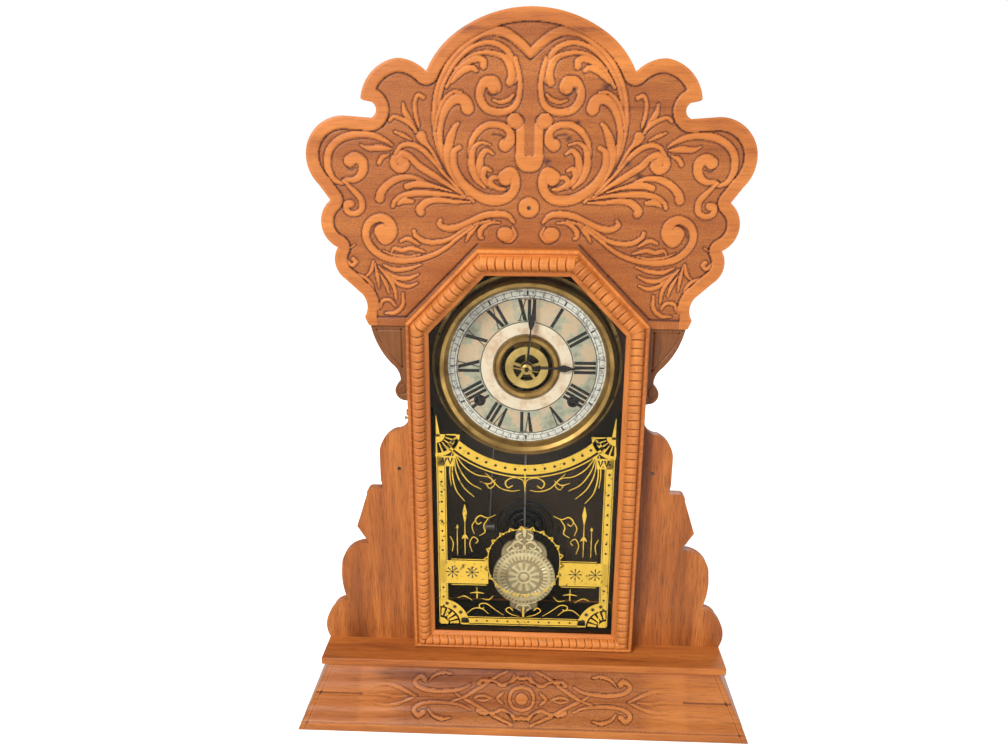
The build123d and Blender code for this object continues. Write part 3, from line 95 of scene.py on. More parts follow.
door_half_width, door_top, door_top_half_width = 94.6, 402.7, 38.5
crest_front, crest_back, crest_nail = -9.0, -1.0, (0, 432.5)
corbel_front, corbel_back, corbel_cell = -6.0, 2.0, 0.5
bob_disc_rise, bob_cell = 40.8, 0.4
base_splay = 22.6
stick_back, rebate_front, rebate_width = -9.6, -18.7, 4.5
roll_middle, roll_radius = 9.2, 5.2
numeral_foot, numeral_height, numeral_lean = 39.4, 17.4, 2.3
track_inner, track_outer = 60.0, 63.8
winding_x, winding_drop = 39.0, 29.5


def dial_middle():
    """Height of the dial's middle, in metres."""
    low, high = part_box("dial_pan")
    return (low.z + high.z) / 2


# Curves and carving


def smooth_line(points, step=0.6):
    """Points along a smooth curve through the given ones, and each one's share of the way."""
    given = np.array(points, float)
    padded = np.vstack([2 * given[0] - given[1], given, 2 * given[-1] - given[-2]])
    line = [given[:1]]
    for index in range(len(given) - 1):
        p0, p1, p2, p3 = padded[index:index + 4]
        count = max(2, int(np.hypot(*(p2 - p1)) / step))
        u = np.linspace(0, 1, count + 1)[1:, None]
        line.append(0.5 * (2 * p1 + (p2 - p0) * u + (2 * p0 - 5 * p1 + 4 * p2 - p3) * u**2
                           + (3 * p1 - 3 * p2 + p3 - p0) * u**3))
    line = np.vstack(line)
    return line, np.linspace(0, 1, len(line))


def nearest_stroke(x, z, points, widths, margin):
    """Indices near a stroke, how deep each lies inside it, and the stroke's half width there."""
    line, share = smooth_line(points)
    half = np.interp(share, np.linspace(0, 1, len(widths)), widths)
    reach = half.max() + margin
    near = np.nonzero((x > line[:, 0].min() - reach) & (x < line[:, 0].max() + reach)
                      & (z > line[:, 1].min() - reach) & (z < line[:, 1].max() + reach))[0]
    inside = half - np.hypot(x[near, None] - line[:, 0], z[near, None] - line[:, 1])
    best = inside.argmax(1)
    return near, inside[np.arange(len(near)), best], half[best]


def carve(x, z, ground, bands, cuts, rise=0.95, edge_cut=0.75):
    """Height of carved work over the face, in millimetres: raised bands with cut edges, and plain cuts."""
    height = np.full(x.shape, float(ground))
    for points, widths in bands:
        near, inside, half = nearest_stroke(x, z, points, widths, 1.8)
        crown = np.sqrt(1 - (1 - np.clip(inside / half, 0, 1))**2)
        raised = ground + rise * (0.70 + 0.30 * crown)
        current = np.where(inside > 0, raised, height[near])
        height[near] = current - edge_cut * np.exp(-((inside + 0.25) / 0.5)**2)
    for points, half_width, depth in cuts:
        near, inside, half = nearest_stroke(x, z, points, (half_width,), 2.0)
        height[near] -= depth * np.exp(-((half - inside) / half_width)**2)
    return height


def relief_tone(height):
    """What the finishes read of a carved height."""
    return (height + 2.0) / 2.2


def places(verts):
    """X and Z of each vertex."""
    return np.array([v.co.x for v in verts]), np.array([v.co.z for v in verts])


def face_outline(node, level, side, holes=()):
    """Edges of a node's flat front (side -1) or back (side 1) face in millimetres, without nail holes."""
    mesh = bmesh.new()
    mesh.from_mesh(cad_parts[node].data)
    bmesh.ops.remove_doubles(mesh, verts=mesh.verts, dist=2e-6)
    mesh.normal_update()
    edges = []
    for edge in mesh.edges:
        if len(edge.link_faces) != 2 or any(abs(v.co.y / MM - level) > 0.02 for v in edge.verts):
            continue
        flat = [face.normal.y * side > 0.9 for face in edge.link_faces]
        if flat[0] == flat[1]:
            continue
        a, b = [(v.co.x / MM, v.co.z / MM) for v in edge.verts]
        if any(hypot(a[0] - hx, a[1] - hz) < 3.5 for hx, hz in holes):
            continue
        edges.append((*a, *b))
    mesh.free()
    return np.array(edges)


def within(x, z, edges):
    """Which points lie inside the outline."""
    crossed = np.zeros(x.shape, int)
    for ax, az, bx, bz in edges:
        if az == bz:
            continue
        spans = (az > z) != (bz > z)
        crossed += spans & (x < (bx - ax) * (z - az) / (bz - az) + ax)
    return crossed % 2 == 1


def to_outline(x, z, edges):
    """Distance to the outline and the nearest point on it."""
    best = np.full(x.shape, 1e9)
    nx, nz = x.copy(), z.copy()
    for ax, az, bx, bz in edges:
        dx, dz = bx - ax, bz - az
        t = np.clip(((x - ax) * dx + (z - az) * dz) / max(dx * dx + dz * dz, 1e-12), 0, 1)
        px, pz = ax + t * dx, az + t * dz
        gap = np.hypot(x - px, z - pz)
        closer = gap < best
        best[closer], nx[closer], nz[closer] = gap[closer], px[closer], pz[closer]
    return best, nx, nz


def finish_mesh(name, mesh, material, body, replaced=(), smooth=True):
    """Turns a bmesh into a piece that rides on a body."""
    data = bpy.data.meshes.new(name)
    mesh.to_mesh(data)
    mesh.free()
    piece = bpy.data.objects.new(name, data)
    bpy.context.scene.collection.objects.link(piece)
    data.materials.append(finishes[material])
    if smooth:
        data.shade_smooth()
    else:
        data.shade_flat()
    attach(piece, body)
    if replaced:
        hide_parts(*replaced)


def carved_board(name, node, front, back, relief, cell, material, body, outline_level=None, side=-1,
                 holes=()):
    """Board cut to its node's outline, with carved work on its front."""
    edges = face_outline(node, front if outline_level is None else outline_level, side, holes)
    low_x, high_x = min(edges[:, 0].min(), edges[:, 2].min()), max(edges[:, 0].max(), edges[:, 2].max())
    low_z, high_z = min(edges[:, 1].min(), edges[:, 3].min()), max(edges[:, 1].max(), edges[:, 3].max())
    columns, rows = int((high_x - low_x) / cell), int((high_z - low_z) / cell)
    mesh = bmesh.new()
    tone = mesh.verts.layers.float.new("relief")
    middle = Matrix.Translation(((low_x + high_x) / 2, 0, (low_z + high_z) / 2))
    place = middle @ Matrix.Rotation(pi / 2, 4, "X")
    bmesh.ops.create_grid(mesh, x_segments=columns, y_segments=rows, size=0.5,
                          matrix=place @ Matrix.Diagonal((high_x - low_x, high_z - low_z, 1, 1)))
    verts = list(mesh.verts)
    outside = ~within(*places(verts), edges)
    bmesh.ops.delete(mesh, geom=[v for v, gone in zip(verts, outside) if gone], context="VERTS")
    lonely = [v for v in mesh.verts if len(v.link_faces) < 2]
    bmesh.ops.delete(mesh, geom=lonely, context="VERTS")
    verts = list(mesh.verts)
    rim = [v for v in verts if v.is_boundary]
    _, nx, nz = to_outline(*places(rim), edges)
    for v, px, pz in zip(rim, nx, nz):
        v.co.x, v.co.z = px, pz
    x, z = places(verts)
    gap = to_outline(x, z, edges)[0]
    for v, h in zip(verts, relief(x, z, gap)):
        v.co.y = front - h
        v[tone] = relief_tone(h)
    border = [e for e in mesh.edges if e.is_boundary]
    walls = bmesh.ops.extrude_edge_only(mesh, edges=border)["geom"]
    for v in [g for g in walls if isinstance(g, bmesh.types.BMVert)]:
        v.co.y = back
        v[tone] = 0.8
    back_edges = [g for g in walls if isinstance(g, bmesh.types.BMEdge)
                  and all(abs(v.co.y - back) < 1e-6 for v in g.verts)]
    bmesh.ops.edgeloop_fill(mesh, edges=back_edges)
    for face in mesh.faces:
        face.smooth = True
    for edge in border + back_edges:
        edge.smooth = False
    bmesh.ops.scale(mesh, vec=(MM, MM, MM), verts=mesh.verts)
    bmesh.ops.recalc_face_normals(mesh, faces=mesh.faces)
    finish_mesh(name, mesh, material, body, (node,))


# Crest carving, right half, in millimetres

crest_bands = [
    # Heart at the top and the fronds that fall from it
    (((0, 541), (9, 549), (19, 555), (29, 556), (39, 553), (50, 544), (60, 532), (67, 517), (70, 500),
      (69, 482),
      (63, 464), (53, 448), (42, 437)), (3.2, 3.4, 3.0, 2.6, 2.2, 1.8, 1.6, 1.4)),
    (((12, 523), (12, 533), (17, 543), (27, 548), (38, 547), (48, 541), (57, 531), (64, 518), (67, 503),
      (66, 486)),
     (2.6, 2.0, 1.6, 1.5, 1.3, 1.0)),
    (((15, 521.5), (13.5, 527), (15.5, 534), (20, 539), (29, 541.5), (38, 541), (47, 537), (55, 530)),
     (2.8, 2.6, 1.8, 1.5, 1.3, 0.8)),
    (((34, 532.5), (34, 536), (39, 537.5), (47, 534), (55, 527), (61, 518)), (2.4, 2.2, 1.8, 1.2)),
    (((39, 529.5), (43, 531.5), (50, 528.5), (57, 521.5)), (1.5, 2.4, 2.2, 1.0)),
    # Upper volute
    (((11, 538), (8.5, 528), (7.5, 518), (9.5, 508), (15, 502.5), (23, 501), (31, 503), (36, 509),
      (36.5, 516),
      (33, 521.5), (27.5, 521.5), (26, 518.5)), (1.5, 1.9, 2.0, 2.4, 2.8, 3.0, 3.2, 5.2)),
    (((12, 513), (16, 509.5), (22, 508), (27, 509.5)), (1.0, 1.6, 1.4, 0.8)),
    # Curl under it
    (((45.5, 503.5), (47.5, 508.5), (53, 510.5), (60, 506), (64.5, 497), (66.5, 486), (65, 473), (60, 460),
      (50, 446)),
     (4.6, 3.6, 2.6, 2.2, 1.8, 1.4, 1.0)),
    (((50, 515), (57, 514.5), (64, 508), (68, 498), (70, 488)), (0.8, 1.5, 1.2, 0.8)),
    (((53, 493), (56.5, 488), (60, 478), (60.5, 466), (55, 453), (46, 442)), (1.4, 3.0, 3.4, 3.0, 2.0, 1.2)),
    # Middle strap
    (((0, 464.5), (3.5, 464.8), (6.4, 469), (6.9, 480), (6.9, 490), (7.5, 495)),
     (6.2, 4.4, 3.3, 3.3, 3.3, 3.2)),
    (((10.8, 494.8), (11.4, 495)), (5.6, 5.6)),
    # Curl beside the strap
    (((18, 478), (14.5, 481), (14.5, 487), (20, 491.5), (29, 492.5), (37, 488.5), (43, 480), (45, 470)),
     (4.8, 2.8, 2.4, 2.4, 2.4, 2.0, 0.9)),
    (((29, 478), (36, 479.5), (41.5, 475), (43, 465), (40, 455), (33, 447.5)),
     (0.7, 1.4, 2.4, 3.0, 2.6, 1.4)),
    (((27, 471.5), (32, 474), (36.5, 468), (36, 458), (31, 449)), (1.0, 2.2, 2.8, 2.6, 1.2)),
    (((28.5, 459.5), (33, 461), (34, 454), (28, 447)), (1.2, 2.2, 2.2, 1.2)),
    (((22, 454), (27, 454.5), (29, 450.5), (23, 446.5), (18, 446)), (1.4, 2.0, 1.8, 1.2)),
    # Lower volute
    (((17.5, 454.5), (13.5, 457), (10.5, 451), (12, 444), (18, 439), (27, 437.8), (36, 440), (45, 446),
      (52, 454),
      (56.5, 464), (56, 473), (52, 476)), (6.0, 4.4, 3.4, 3.6, 3.8, 3.8, 3.6, 3.2, 2.8, 2.6, 2.4, 1.8)),
    # Boss
    (((0, 432.5), (0.3, 432.5)), (7.6, 7.6)),
    # Lower scroll over the door
    (((11, 421.5), (16, 426.5), (24, 427.8), (34, 426.3), (45, 421.5), (55, 417.3), (63, 416.8),
      (68, 419.5), (67, 422.5)),
     (1.2, 2.4, 2.6, 2.6, 2.5, 2.4, 2.6, 2.4, 1.6)),
    (((22, 421.3), (30, 420.8), (36, 416), (37, 410.5), (35, 409.5)), (0.8, 1.3, 2.0, 2.2, 1.2)),
    (((29, 423), (38, 420), (44, 413.5), (47.5, 407)), (0.7, 1.3, 2.2, 0.8)),
    (((12, 417.5), (10, 412), (13.5, 407.5), (18, 406.8)), (1.0, 1.6, 1.6, 1.2)),
    (((17.2, 412.5), (18.2, 412.5)), (5.6, 5.6)),
    (((38, 421), (50, 415), (60, 408.5), (70, 406), (79, 406.5), (86, 410.5), (87.5, 414)),
     (0.8, 1.3, 1.6, 2.0, 2.0, 1.6)),
    # Lower right volute
    (((42, 418), (54, 409), (66, 400), (80, 394), (98, 391.8), (112, 394.5), (121.5, 402), (125, 411),
      (122, 420),
      (113.5, 424.2), (106, 420.5), (104.8, 412.5), (110, 408), (113.5, 413.5), (111.5, 415)),
     (1.0, 1.4, 1.8, 2.2, 2.6, 2.8, 2.8, 3.2, 4.0, 4.8)),
    (((83, 396.5), (92, 394.8), (104, 396), (112, 399)), (0.6, 1.0, 1.0, 0.6)),
    (((80, 398.5), (90, 401), (97, 399.5), (103, 401), (105.5, 398)), (0.8, 1.6, 1.8, 1.8, 0.8)),
    (((84, 404), (92, 408.5), (98, 406.5)), (0.8, 1.9, 1.2)),
    (((83, 388.5), (92, 385.5), (103, 384.5), (112, 388)), (0.8, 1.7, 1.9, 0.8)),
    (((85, 381), (93, 377.8), (103, 378.5), (112, 384)), (0.8, 1.8, 1.9, 0.8)),
    (((86, 374), (93, 371.5), (101, 373.5), (107, 379)), (0.8, 1.7, 1.8, 0.8)),
    # Sprays fanning to the right
    (((44, 436.5), (56, 436.5), (68, 438), (77, 436.3), (82.5, 431.5), (82, 428.5)),
     (0.8, 1.3, 1.8, 2.2, 2.8, 3.0)),
    (((46, 439), (60, 441.5), (73, 442.5), (84, 442.8), (94, 441), (101, 437), (103, 433)),
     (0.8, 1.4, 2.0, 2.4, 2.4, 1.6)),
    (((88, 436.5), (94, 437), (99, 434.5)), (1.4, 2.6, 1.2)),
    (((60, 445), (74, 449), (86, 454), (96, 454), (105, 450), (111.5, 443.5), (113, 438.5)),
     (0.7, 1.2, 1.4, 1.8, 2.6, 2.8, 3.4)),
    (((58, 444), (72, 448), (84, 449.5), (92, 447.5)), (0.7, 1.3, 2.6, 2.4)),
    (((48, 440.5), (60, 448.5), (72, 456), (83, 463), (89, 469), (95.5, 471.5), (101, 468), (101, 462.5),
      (96, 460),
      (92.5, 463.5), (95.5, 466)), (0.8, 1.5, 2.2, 2.6, 2.4, 2.4, 2.8, 3.4)),
    (((50, 443), (62, 455), (72, 467), (80, 474.5), (88, 478), (95, 477), (100, 471.5)),
     (0.8, 1.2, 1.5, 2.0, 2.0, 1.4)),
    (((66, 462), (73, 474), (79, 481), (80.5, 484)), (0.8, 1.2, 1.5, 3.8)),
    (((84, 487), (88, 494), (92, 501), (93, 507)), (1.4, 2.0, 2.2, 0.8)),
    (((84, 488), (89, 493), (94.5, 496), (100, 497.5), (103.5, 495)), (1.0, 1.8, 1.6, 1.5, 1.2)),
    (((82, 491), (84, 499), (84.5, 507), (82, 512.5), (78, 511)), (1.0, 1.5, 1.4, 1.4, 1.6)),
    (((88, 481.5), (94, 484.5), (100, 487)), (0.8, 1.6, 0.8)),
    # Shoulder scroll
    (((102, 477.5), (108, 481), (117, 484.5), (129, 485), (141, 481.5), (149.5, 473.5), (151.5, 462),
      (147.5, 452.5),
      (141, 449.5)), (0.9, 2.0, 2.6, 2.8, 2.8, 2.8, 2.8, 2.4, 1.4)),
    (((139.5, 452), (131, 452.5), (125.5, 457.5), (125, 465), (130, 468.5), (134.5, 466)),
     (1.4, 2.4, 3.4, 3.8, 4.6)),
    (((103, 474.5), (112, 475.5), (120, 475), (126, 477.5)), (0.8, 2.4, 2.2, 0.6)),
    (((105, 470.5), (110, 468.5), (112.5, 464.5)), (0.8, 1.8, 1.6)),
    (((140, 451.5), (133, 444.5), (127.5, 438), (127, 431), (132, 427), (138, 428.5), (139, 433.5),
      (135.5, 434.5)),
     (1.2, 1.8, 2.4, 2.4, 2.2, 2.2, 3.0)),
    (((133.5, 403.5), (140, 399), (141, 392.5), (137, 387.5), (133.5, 390), (135.5, 392.5)),
     (0.6, 0.9, 1.2, 1.5, 1.6)),
    # Leaves at the lower edge
    (((97.5, 366), (98, 356.5), (104, 350.5), (112, 350)), (1.0, 1.6, 1.8, 0.9)),
    (((104, 356), (108, 360.5), (114, 359.5), (116, 354)), (1.0, 1.5, 1.5, 0.9)),
    (((103, 361), (104.5, 371), (110, 380), (116, 387)), (0.9, 1.6, 1.6, 0.8)),
    (((108.5, 366), (111, 374), (115, 381)), (0.8, 1.6, 0.7)),
    (((116, 370), (117, 379), (119, 389)), (0.7, 1.6, 0.8)),
    (((127, 378), (122, 383), (120, 391)), (0.7, 1.6, 0.8)),
    (((121, 364), (121.5, 371), (126, 377), (134, 381)), (0.7, 1.3, 1.5, 0.7)),
]
crest_cuts = [
    (((0, 536.5), (6, 543.5), (14, 549), (22, 552)), 0.5, 0.7),
    (((23.5, 517), (24.5, 514), (28, 512.5), (31.5, 514.5)), 0.5, 0.9),
    (((30, 522), (34, 518), (34, 512)), 0.4, 0.4),
    (((13.2, 454.5), (13.5, 450.5), (17, 447.8), (21, 449.5), (22.5, 453.5)), 0.5, 0.9),
    (((18, 481), (20.5, 484.5), (27, 485.5)), 0.5, 0.9),
    (((9.5, 491.5), (12, 489), (15.5, 490.5)), 0.4, 0.6),
    (((62, 381), (72, 371), (81, 361.5), (95.5, 347.2)), 0.6, 1.1),
    (((95.5, 347.2), (107, 346.9), (118.5, 346.8)), 0.6, 1.1),
    (((118.5, 346.8), (119, 350), (119.3, 354)), 0.6, 0.9),
    (((39, 404.5), (48, 395.5), (58, 385), (62, 381)), 0.6, 1.0),
    (((16, 440.5), (28, 440.2), (40, 445.5), (50, 456)), 0.4, 0.4),
    (((94, 468.5), (92.5, 465), (96, 463)), 0.4, 0.7),
    (((130, 461), (134, 459.5), (137, 462)), 0.5, 0.8),
    (((109, 417.5), (112.5, 420), (118, 417.5), (120.5, 411)), 0.5, 0.8),
    # Veins inside the broad bands
    (((26, 553.5), (39, 550.5), (50, 542), (59, 530.5), (65, 516), (67.5, 500), (66.5, 484)), 0.35, 0.35),
    (((12.5, 528), (10.8, 518), (12.5, 509.5), (17, 505), (24, 503.8)), 0.35, 0.35),
    (((9.5, 447), (16, 441.5), (26, 440.2), (36, 442.8), (46, 449.5), (52, 458), (53.5, 468)), 0.35, 0.35),
    (((107, 480.3), (118, 483), (130, 483.2), (140.5, 479), (147.5, 470.5), (149, 461)), 0.35, 0.35),
    (((82, 396), (98, 394), (112, 397.5), (119, 405), (121.5, 413)), 0.35, 0.35),
    (((50.5, 506.5), (57, 505.5), (62, 498), (64, 487), (62.5, 474)), 0.35, 0.35),
    (((56, 486), (58.5, 477), (58.5, 466), (54, 455)), 0.35, 0.35),
    (((16, 424.5), (25, 426), (35, 424.5), (46, 419.5), (56, 415.5)), 0.35, 0.35),
    (((60, 447), (72, 454.5), (82, 461), (88, 466.5)), 0.35, 0.35),
]
# Knots as (x, z, size)
crest_knots = ((33, 517.5, 1.6), (55.5, 518.5, 2.2), (35.5, 494, 1.3), (29, 482.5, 1.6), (72.5, 465, 2.0),
               (13.5, 466, 1.8), (82, 456, 1.8), (18, 536, 1.2), (28.5, 503, 1.0))


def crest_relief(x, z, gap):
    """Both halves of the crest, with a plain border that stops at the cut for the door."""
    ground = -settings().ground_depth / MM
    border = settings().border_width / MM
    side = np.abs(x)
    height = carve(side, z, ground, crest_bands, crest_cuts)
    slot = (side < 3.4) & (z > 471) & (z < 500)
    height = np.where(slot, ground, height)
    on_slope = (side + (z - door_top) * 0.965 < 46.5) & (z < 409)
    near_door = on_slope | (z < 352) & (side < 119)
    rounded = -0.5 * np.clip(1 - gap / 0.9, 0, 1)**2
    groove = np.exp(-((gap - border - 0.3) / 0.6)**2)
    rim = np.where(gap < border, rounded, height) - 1.5 * groove
    framed = np.where(gap < border + 0.2, rim, height - groove)
    height = np.where((gap < border + 2.2) & ~near_door, framed, height)
    for kx, kz, size in crest_knots:
        height = height - 0.8 * np.exp(-((x - kx)**2 * 0.6 + (z - kz)**2) / size**2)
    return np.minimum(height, 0)


def corbel_relief(x, z, gap):
    """Cut lines of a corbel, for either side."""
    cuts = [
        (((100, 337), (100, 305)), 0.6, 1.0),
        (((100, 336), (120, 336)), 0.6, 1.0),
        (((120, 336), (118.5, 329), (115, 323.5), (109, 315.5), (100, 305)), 0.6, 1.0),
        (((100, 292), (104.4, 288), (103.5, 283), (98.8, 282.8), (97.8, 288), (100, 292)), 0.5, 1.0),
    ]
    return carve(np.abs(x), z, 0, [], cuts) - 0.5 * np.clip(1 - gap / 0.8, 0, 1)**2


# Bob ornament, in millimetres from the middle of its disc

bob_bands = [
    (((3, 44), (7, 41), (5, 37), (2, 38)), (0.8, 1.3, 1.3, 0.7)),
    (((0, 46), (0.2, 41)), (2.2, 1.0)),
    (((1, 33), (6, 35.5), (10.5, 32), (8, 28), (5, 30)), (0.8, 1.3, 1.5, 1.2, 0.9)),
    (((12, 31), (15, 27), (12, 24)), (1.0, 1.4, 0.8)),
    (((0, 31), (0.2, 25)), (1.6, 2.0)),
    (((5, 25), (10, 26.5), (15, 22), (17.5, 20.5)), (0.8, 1.4, 1.4, 0.8)),
    (((0, -30), (4.5, -29), (6.5, -32.5), (3, -34.5)), (1.0, 1.2, 1.2, 0.8)),
    (((0, -32), (0.1, -38)), (1.5, 0.9)),
]


def bob_relief(x, z, gap):
    """Stamped rings of the bob's disc, and the scrolls above and below it."""
    side, up = np.abs(x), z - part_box("pendulum_bob")[0].z / MM - bob_disc_rise
    radius = np.hypot(side, up)
    angle = np.arctan2(up, side)
    height = carve(side, up, -0.9, bob_bands, [], rise=0.8, edge_cut=0.4)
    petals = -0.35 - 0.35 * np.cos(angle * 12)
    beads = -0.3 - 0.45 * np.cos(angle * 36)
    flutes = -0.6 - 0.35 * np.cos(angle * 48)
    rings = ((3.4, -0.1 - 0.02 * radius**2), (5.4, -0.8), (7, -0.1), (14.5, petals), (17.5, -0.75), (21.5, beads),
             (24.4, -0.2))
    plate = np.select([radius < edge for edge, _ in rings], [level for _, level in rings], flutes)
    height = np.where(radius < 27.2, plate, height)
    height = np.where((radius > 27.2) & (radius < 28), -0.2, height)
    return np.minimum(height - 0.4 * np.clip(1 - gap / 0.6, 0, 1)**2, 0)


# Base moulding, front profile as (y, z), with the carving laid out along it

base_profile = (
    (-65, 0), (-65, 2.4), (-65, 4.6), (-64.4, 6.3), (-62.8, 8.4), (-60.6, 10.1), (-58.4, 11.4),
    (-55.9, 13.2), (-53.8, 15.6),
    (-52.5, 19), (-52, 22.2), (-51.2, 23.6), (-51.0, 24.6), (-51.4, 26), (-50.8, 29), (-49, 32.2),
    (-46.2, 35.2),
    (-43, 37.6), (-40.4, 39.8), (-38.4, 42.2), (-36.8, 44.8), (-36, 47.3),
)
base_bands = [
    (((8, 9), (18, 13), (29, 18.5), (40, 25), (51, 31), (58, 36)), (1.0, 1.4, 1.5, 1.5, 1.4, 0.8)),
    (((12, 54), (20, 50), (29, 44), (40, 37), (50, 31), (60, 27)), (1.0, 1.4, 1.5, 1.5, 1.4, 0.8)),
    (((6, 12), (10, 18), (17, 21), (24, 18), (33, 17.5), (37, 20)), (0.8, 1.3, 1.4, 1.2, 1.6, 1.8)),
    (((6, 51), (10, 45), (17, 42), (24, 45), (33, 45.5), (37, 43)), (0.8, 1.3, 1.4, 1.2, 1.6, 1.8)),
    (((44, 20), (52, 24), (62, 25.5), (74, 26), (86, 24), (92, 19), (88, 14), (84, 17)),
     (0.8, 1.2, 1.4, 1.6, 1.6, 1.8, 2.4)),
    (((44, 42), (52, 38), (62, 36.5), (74, 36), (86, 38), (92, 43), (87, 47.5), (83.5, 45)),
     (0.8, 1.2, 1.4, 1.6, 1.6, 1.8, 2.4)),
    (((60, 13), (68, 12), (76, 15), (80, 20)), (0.8, 1.6, 1.5, 0.7)),
    (((60, 50), (68, 51), (76, 48), (80, 43)), (0.8, 1.6, 1.5, 0.7)),
    (((90, 31), (100, 26), (112, 22.5), (124, 23.5), (131, 28)), (0.8, 1.4, 1.6, 1.4, 0.8)),
    (((90, 31), (100, 36), (112, 40.5), (124, 40), (131, 35)), (0.8, 1.4, 1.6, 1.4, 0.8)),
    (((98, 31), (108, 30), (119, 31.5), (130, 31.5)), (0.8, 1.8, 1.8, 0.6)),
    (((0, 20.8), (7.5, 23.6), (10.4, 31), (7.5, 38.4), (0, 41.2)), (1.4, 1.4, 1.4, 1.4, 1.4)),
    (((0, 31), (0.2, 31)), (5.2, 5.2)),
    (((0, 14.5), (5, 13.8), (8, 16.5), (12, 19)), (1.6, 1.4, 1.4, 0.9)),
    (((0, 47.5), (5, 48.2), (8, 45.5), (12, 43)), (1.6, 1.4, 1.4, 0.9)),
    (((16, 26), (20.5, 31), (16, 36)), (1.0, 1.5, 1.0)),
    (((25, 31), (33, 28.5), (40, 31), (33, 33.5), (25, 31)), (0.9, 1.1, 0.9, 1.1, 0.9)),
]


def loft(mesh, rows, columns, place):
    """Grid bent into a closed bar: place(u, v) gives each vertex from its share along and round."""
    tone = mesh.verts.layers.float.new("relief")
    bmesh.ops.create_grid(mesh, x_segments=rows, y_segments=columns, size=0.5)
    verts = list(mesh.verts)
    u = np.array([vert.co.x for vert in verts]) + 0.5
    v = np.array([vert.co.y for vert in verts]) + 0.5
    points, heights = place(np.clip(u, 0, 1), np.clip(v, 0, 1))
    for vert, point, height in zip(verts, points, heights):
        vert.co = point
        vert[tone] = relief_tone(height)
    bmesh.ops.remove_doubles(mesh, verts=mesh.verts, dist=0.004)
    bmesh.ops.holes_fill(mesh, edges=[e for e in mesh.edges if e.is_boundary], sides=0)
    bmesh.ops.scale(mesh, vec=(MM, MM, MM), verts=mesh.verts)
    bmesh.ops.recalc_face_normals(mesh, faces=mesh.faces)


def ring_profile(front, rest, front_share):
    """Function for a closed profile: from a share of the way round to y, z, the outward normal, the length
    along the front and whether the front is there."""
    shape = np.array(front, float)
    steps = np.r_[0, np.cumsum(np.hypot(*np.diff(shape, axis=0).T))]
    tail = np.array([front[-1], *rest, front[0]], float)
    tail_steps = np.r_[0, np.cumsum(np.hypot(*np.diff(tail, axis=0).T))]

    def at(share):
        along = np.clip(share / front_share, 0, 1) * steps[-1]
        behind = np.clip((share - front_share) / (1 - front_share), 0, 1) * tail_steps[-1]
        on_front = share <= front_share
        y = np.where(on_front, np.interp(along, steps, shape[:, 0]), np.interp(behind, tail_steps, tail[:, 0]))
        z = np.where(on_front, np.interp(along, steps, shape[:, 1]), np.interp(behind, tail_steps, tail[:, 1]))
        ahead, before = np.clip(along + 0.6, 0, steps[-1]), np.clip(along - 0.6, 0, steps[-1])
        dy = np.interp(ahead, steps, shape[:, 0]) - np.interp(before, steps, shape[:, 0])
        dz = np.interp(ahead, steps, shape[:, 1]) - np.interp(before, steps, shape[:, 1])
        length = np.maximum(np.hypot(dy, dz), 1e-9)
        return y, z, dz / length * on_front, -dy / length * on_front, along, on_front

    return at


def build_base():
    """Ogee moulding with mitred ends, carved along its front."""
    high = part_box("base_front_moulding")[1]
    half, top = high.x / MM, high.z / MM
    profile = ring_profile(base_profile, [(-25, 47.3), (-45, 0)], 0.93)

    def place(u, v):
        y, z, ny, nz, along, on_front = profile(v)
        limit = half - base_splay * z / top
        x = (2 * u - 1) * limit
        carved = carve(np.abs(x), along, -1.0, base_bands, [], rise=0.9, edge_cut=0.8)
        reach = (np.clip((142 - np.abs(x)) / 45, 0, 1) * np.clip((along - 7) / 2, 0, 1)
                 * np.clip((57 - along) / 2, 0, 1))
        # Dark lines in the tone only, not the shape: painted shade along the lip's crease and along the middle
        # hollow beyond the carving, and a dark line just inside each mitred end.
        lines = (-1.3 * np.exp(-((along - 7.2) / 0.7)**2)
                 - 1.5 * np.exp(-((along - 33.0) / 1.2)**2) * (np.abs(x) > 136)
                 - 1.4 * np.exp(-((limit - np.abs(x) - 4.5) / 0.7)**2))
        height = np.where(on_front, carved * reach, 0)
        return np.c_[x, y - ny * height, z + nz * height], height + np.where(on_front, lines, 0)

    mesh = bmesh.new()
    loft(mesh, 420, 84, place)
    finish_mesh("base_moulding_carved", mesh, "oak_moulding", "case", ("base_front_moulding",))


def door_corners():
    """Outer corners of the door, anticlockwise from the lower left."""
    low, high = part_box("door_left_stile")
    foot, shoulder = low.z / MM, high.z / MM
    return [(-door_half_width, foot), (door_half_width, foot), (door_half_width, shoulder),
            (door_top_half_width, door_top), (-door_top_half_width, door_top), (-door_half_width, shoulder)]


stick_widths = (15.5, 18.0, 18.5, 20.5, 18.5, 18.0)
stick_nodes = ("door_bottom_rail", "door_right_stile", "door_right_slope_rail", "door_top_rail",
               "door_left_slope_rail", "door_left_stile")


def sight_corner(corners, index):
    """Where the inner edges of the two sticks that meet at a corner cross."""
    lines = []
    for edge in ((index - 1) % 6, index):
        a, b = corners[edge], corners[(edge + 1) % 6]
        length = hypot(b[0] - a[0], b[1] - a[1])
        d = ((b[0] - a[0]) / length, (b[1] - a[1]) / length)
        lines.append(((a[0] - d[1] * stick_widths[edge], a[1] + d[0] * stick_widths[edge]), d))
    (p, d), (q, e) = lines
    cross = d[0] * e[1] - d[1] * e[0]
    t = ((q[0] - p[0]) * e[1] - (q[1] - p[1]) * e[0]) / cross
    return p[0] + d[0] * t, p[1] + d[1] * t


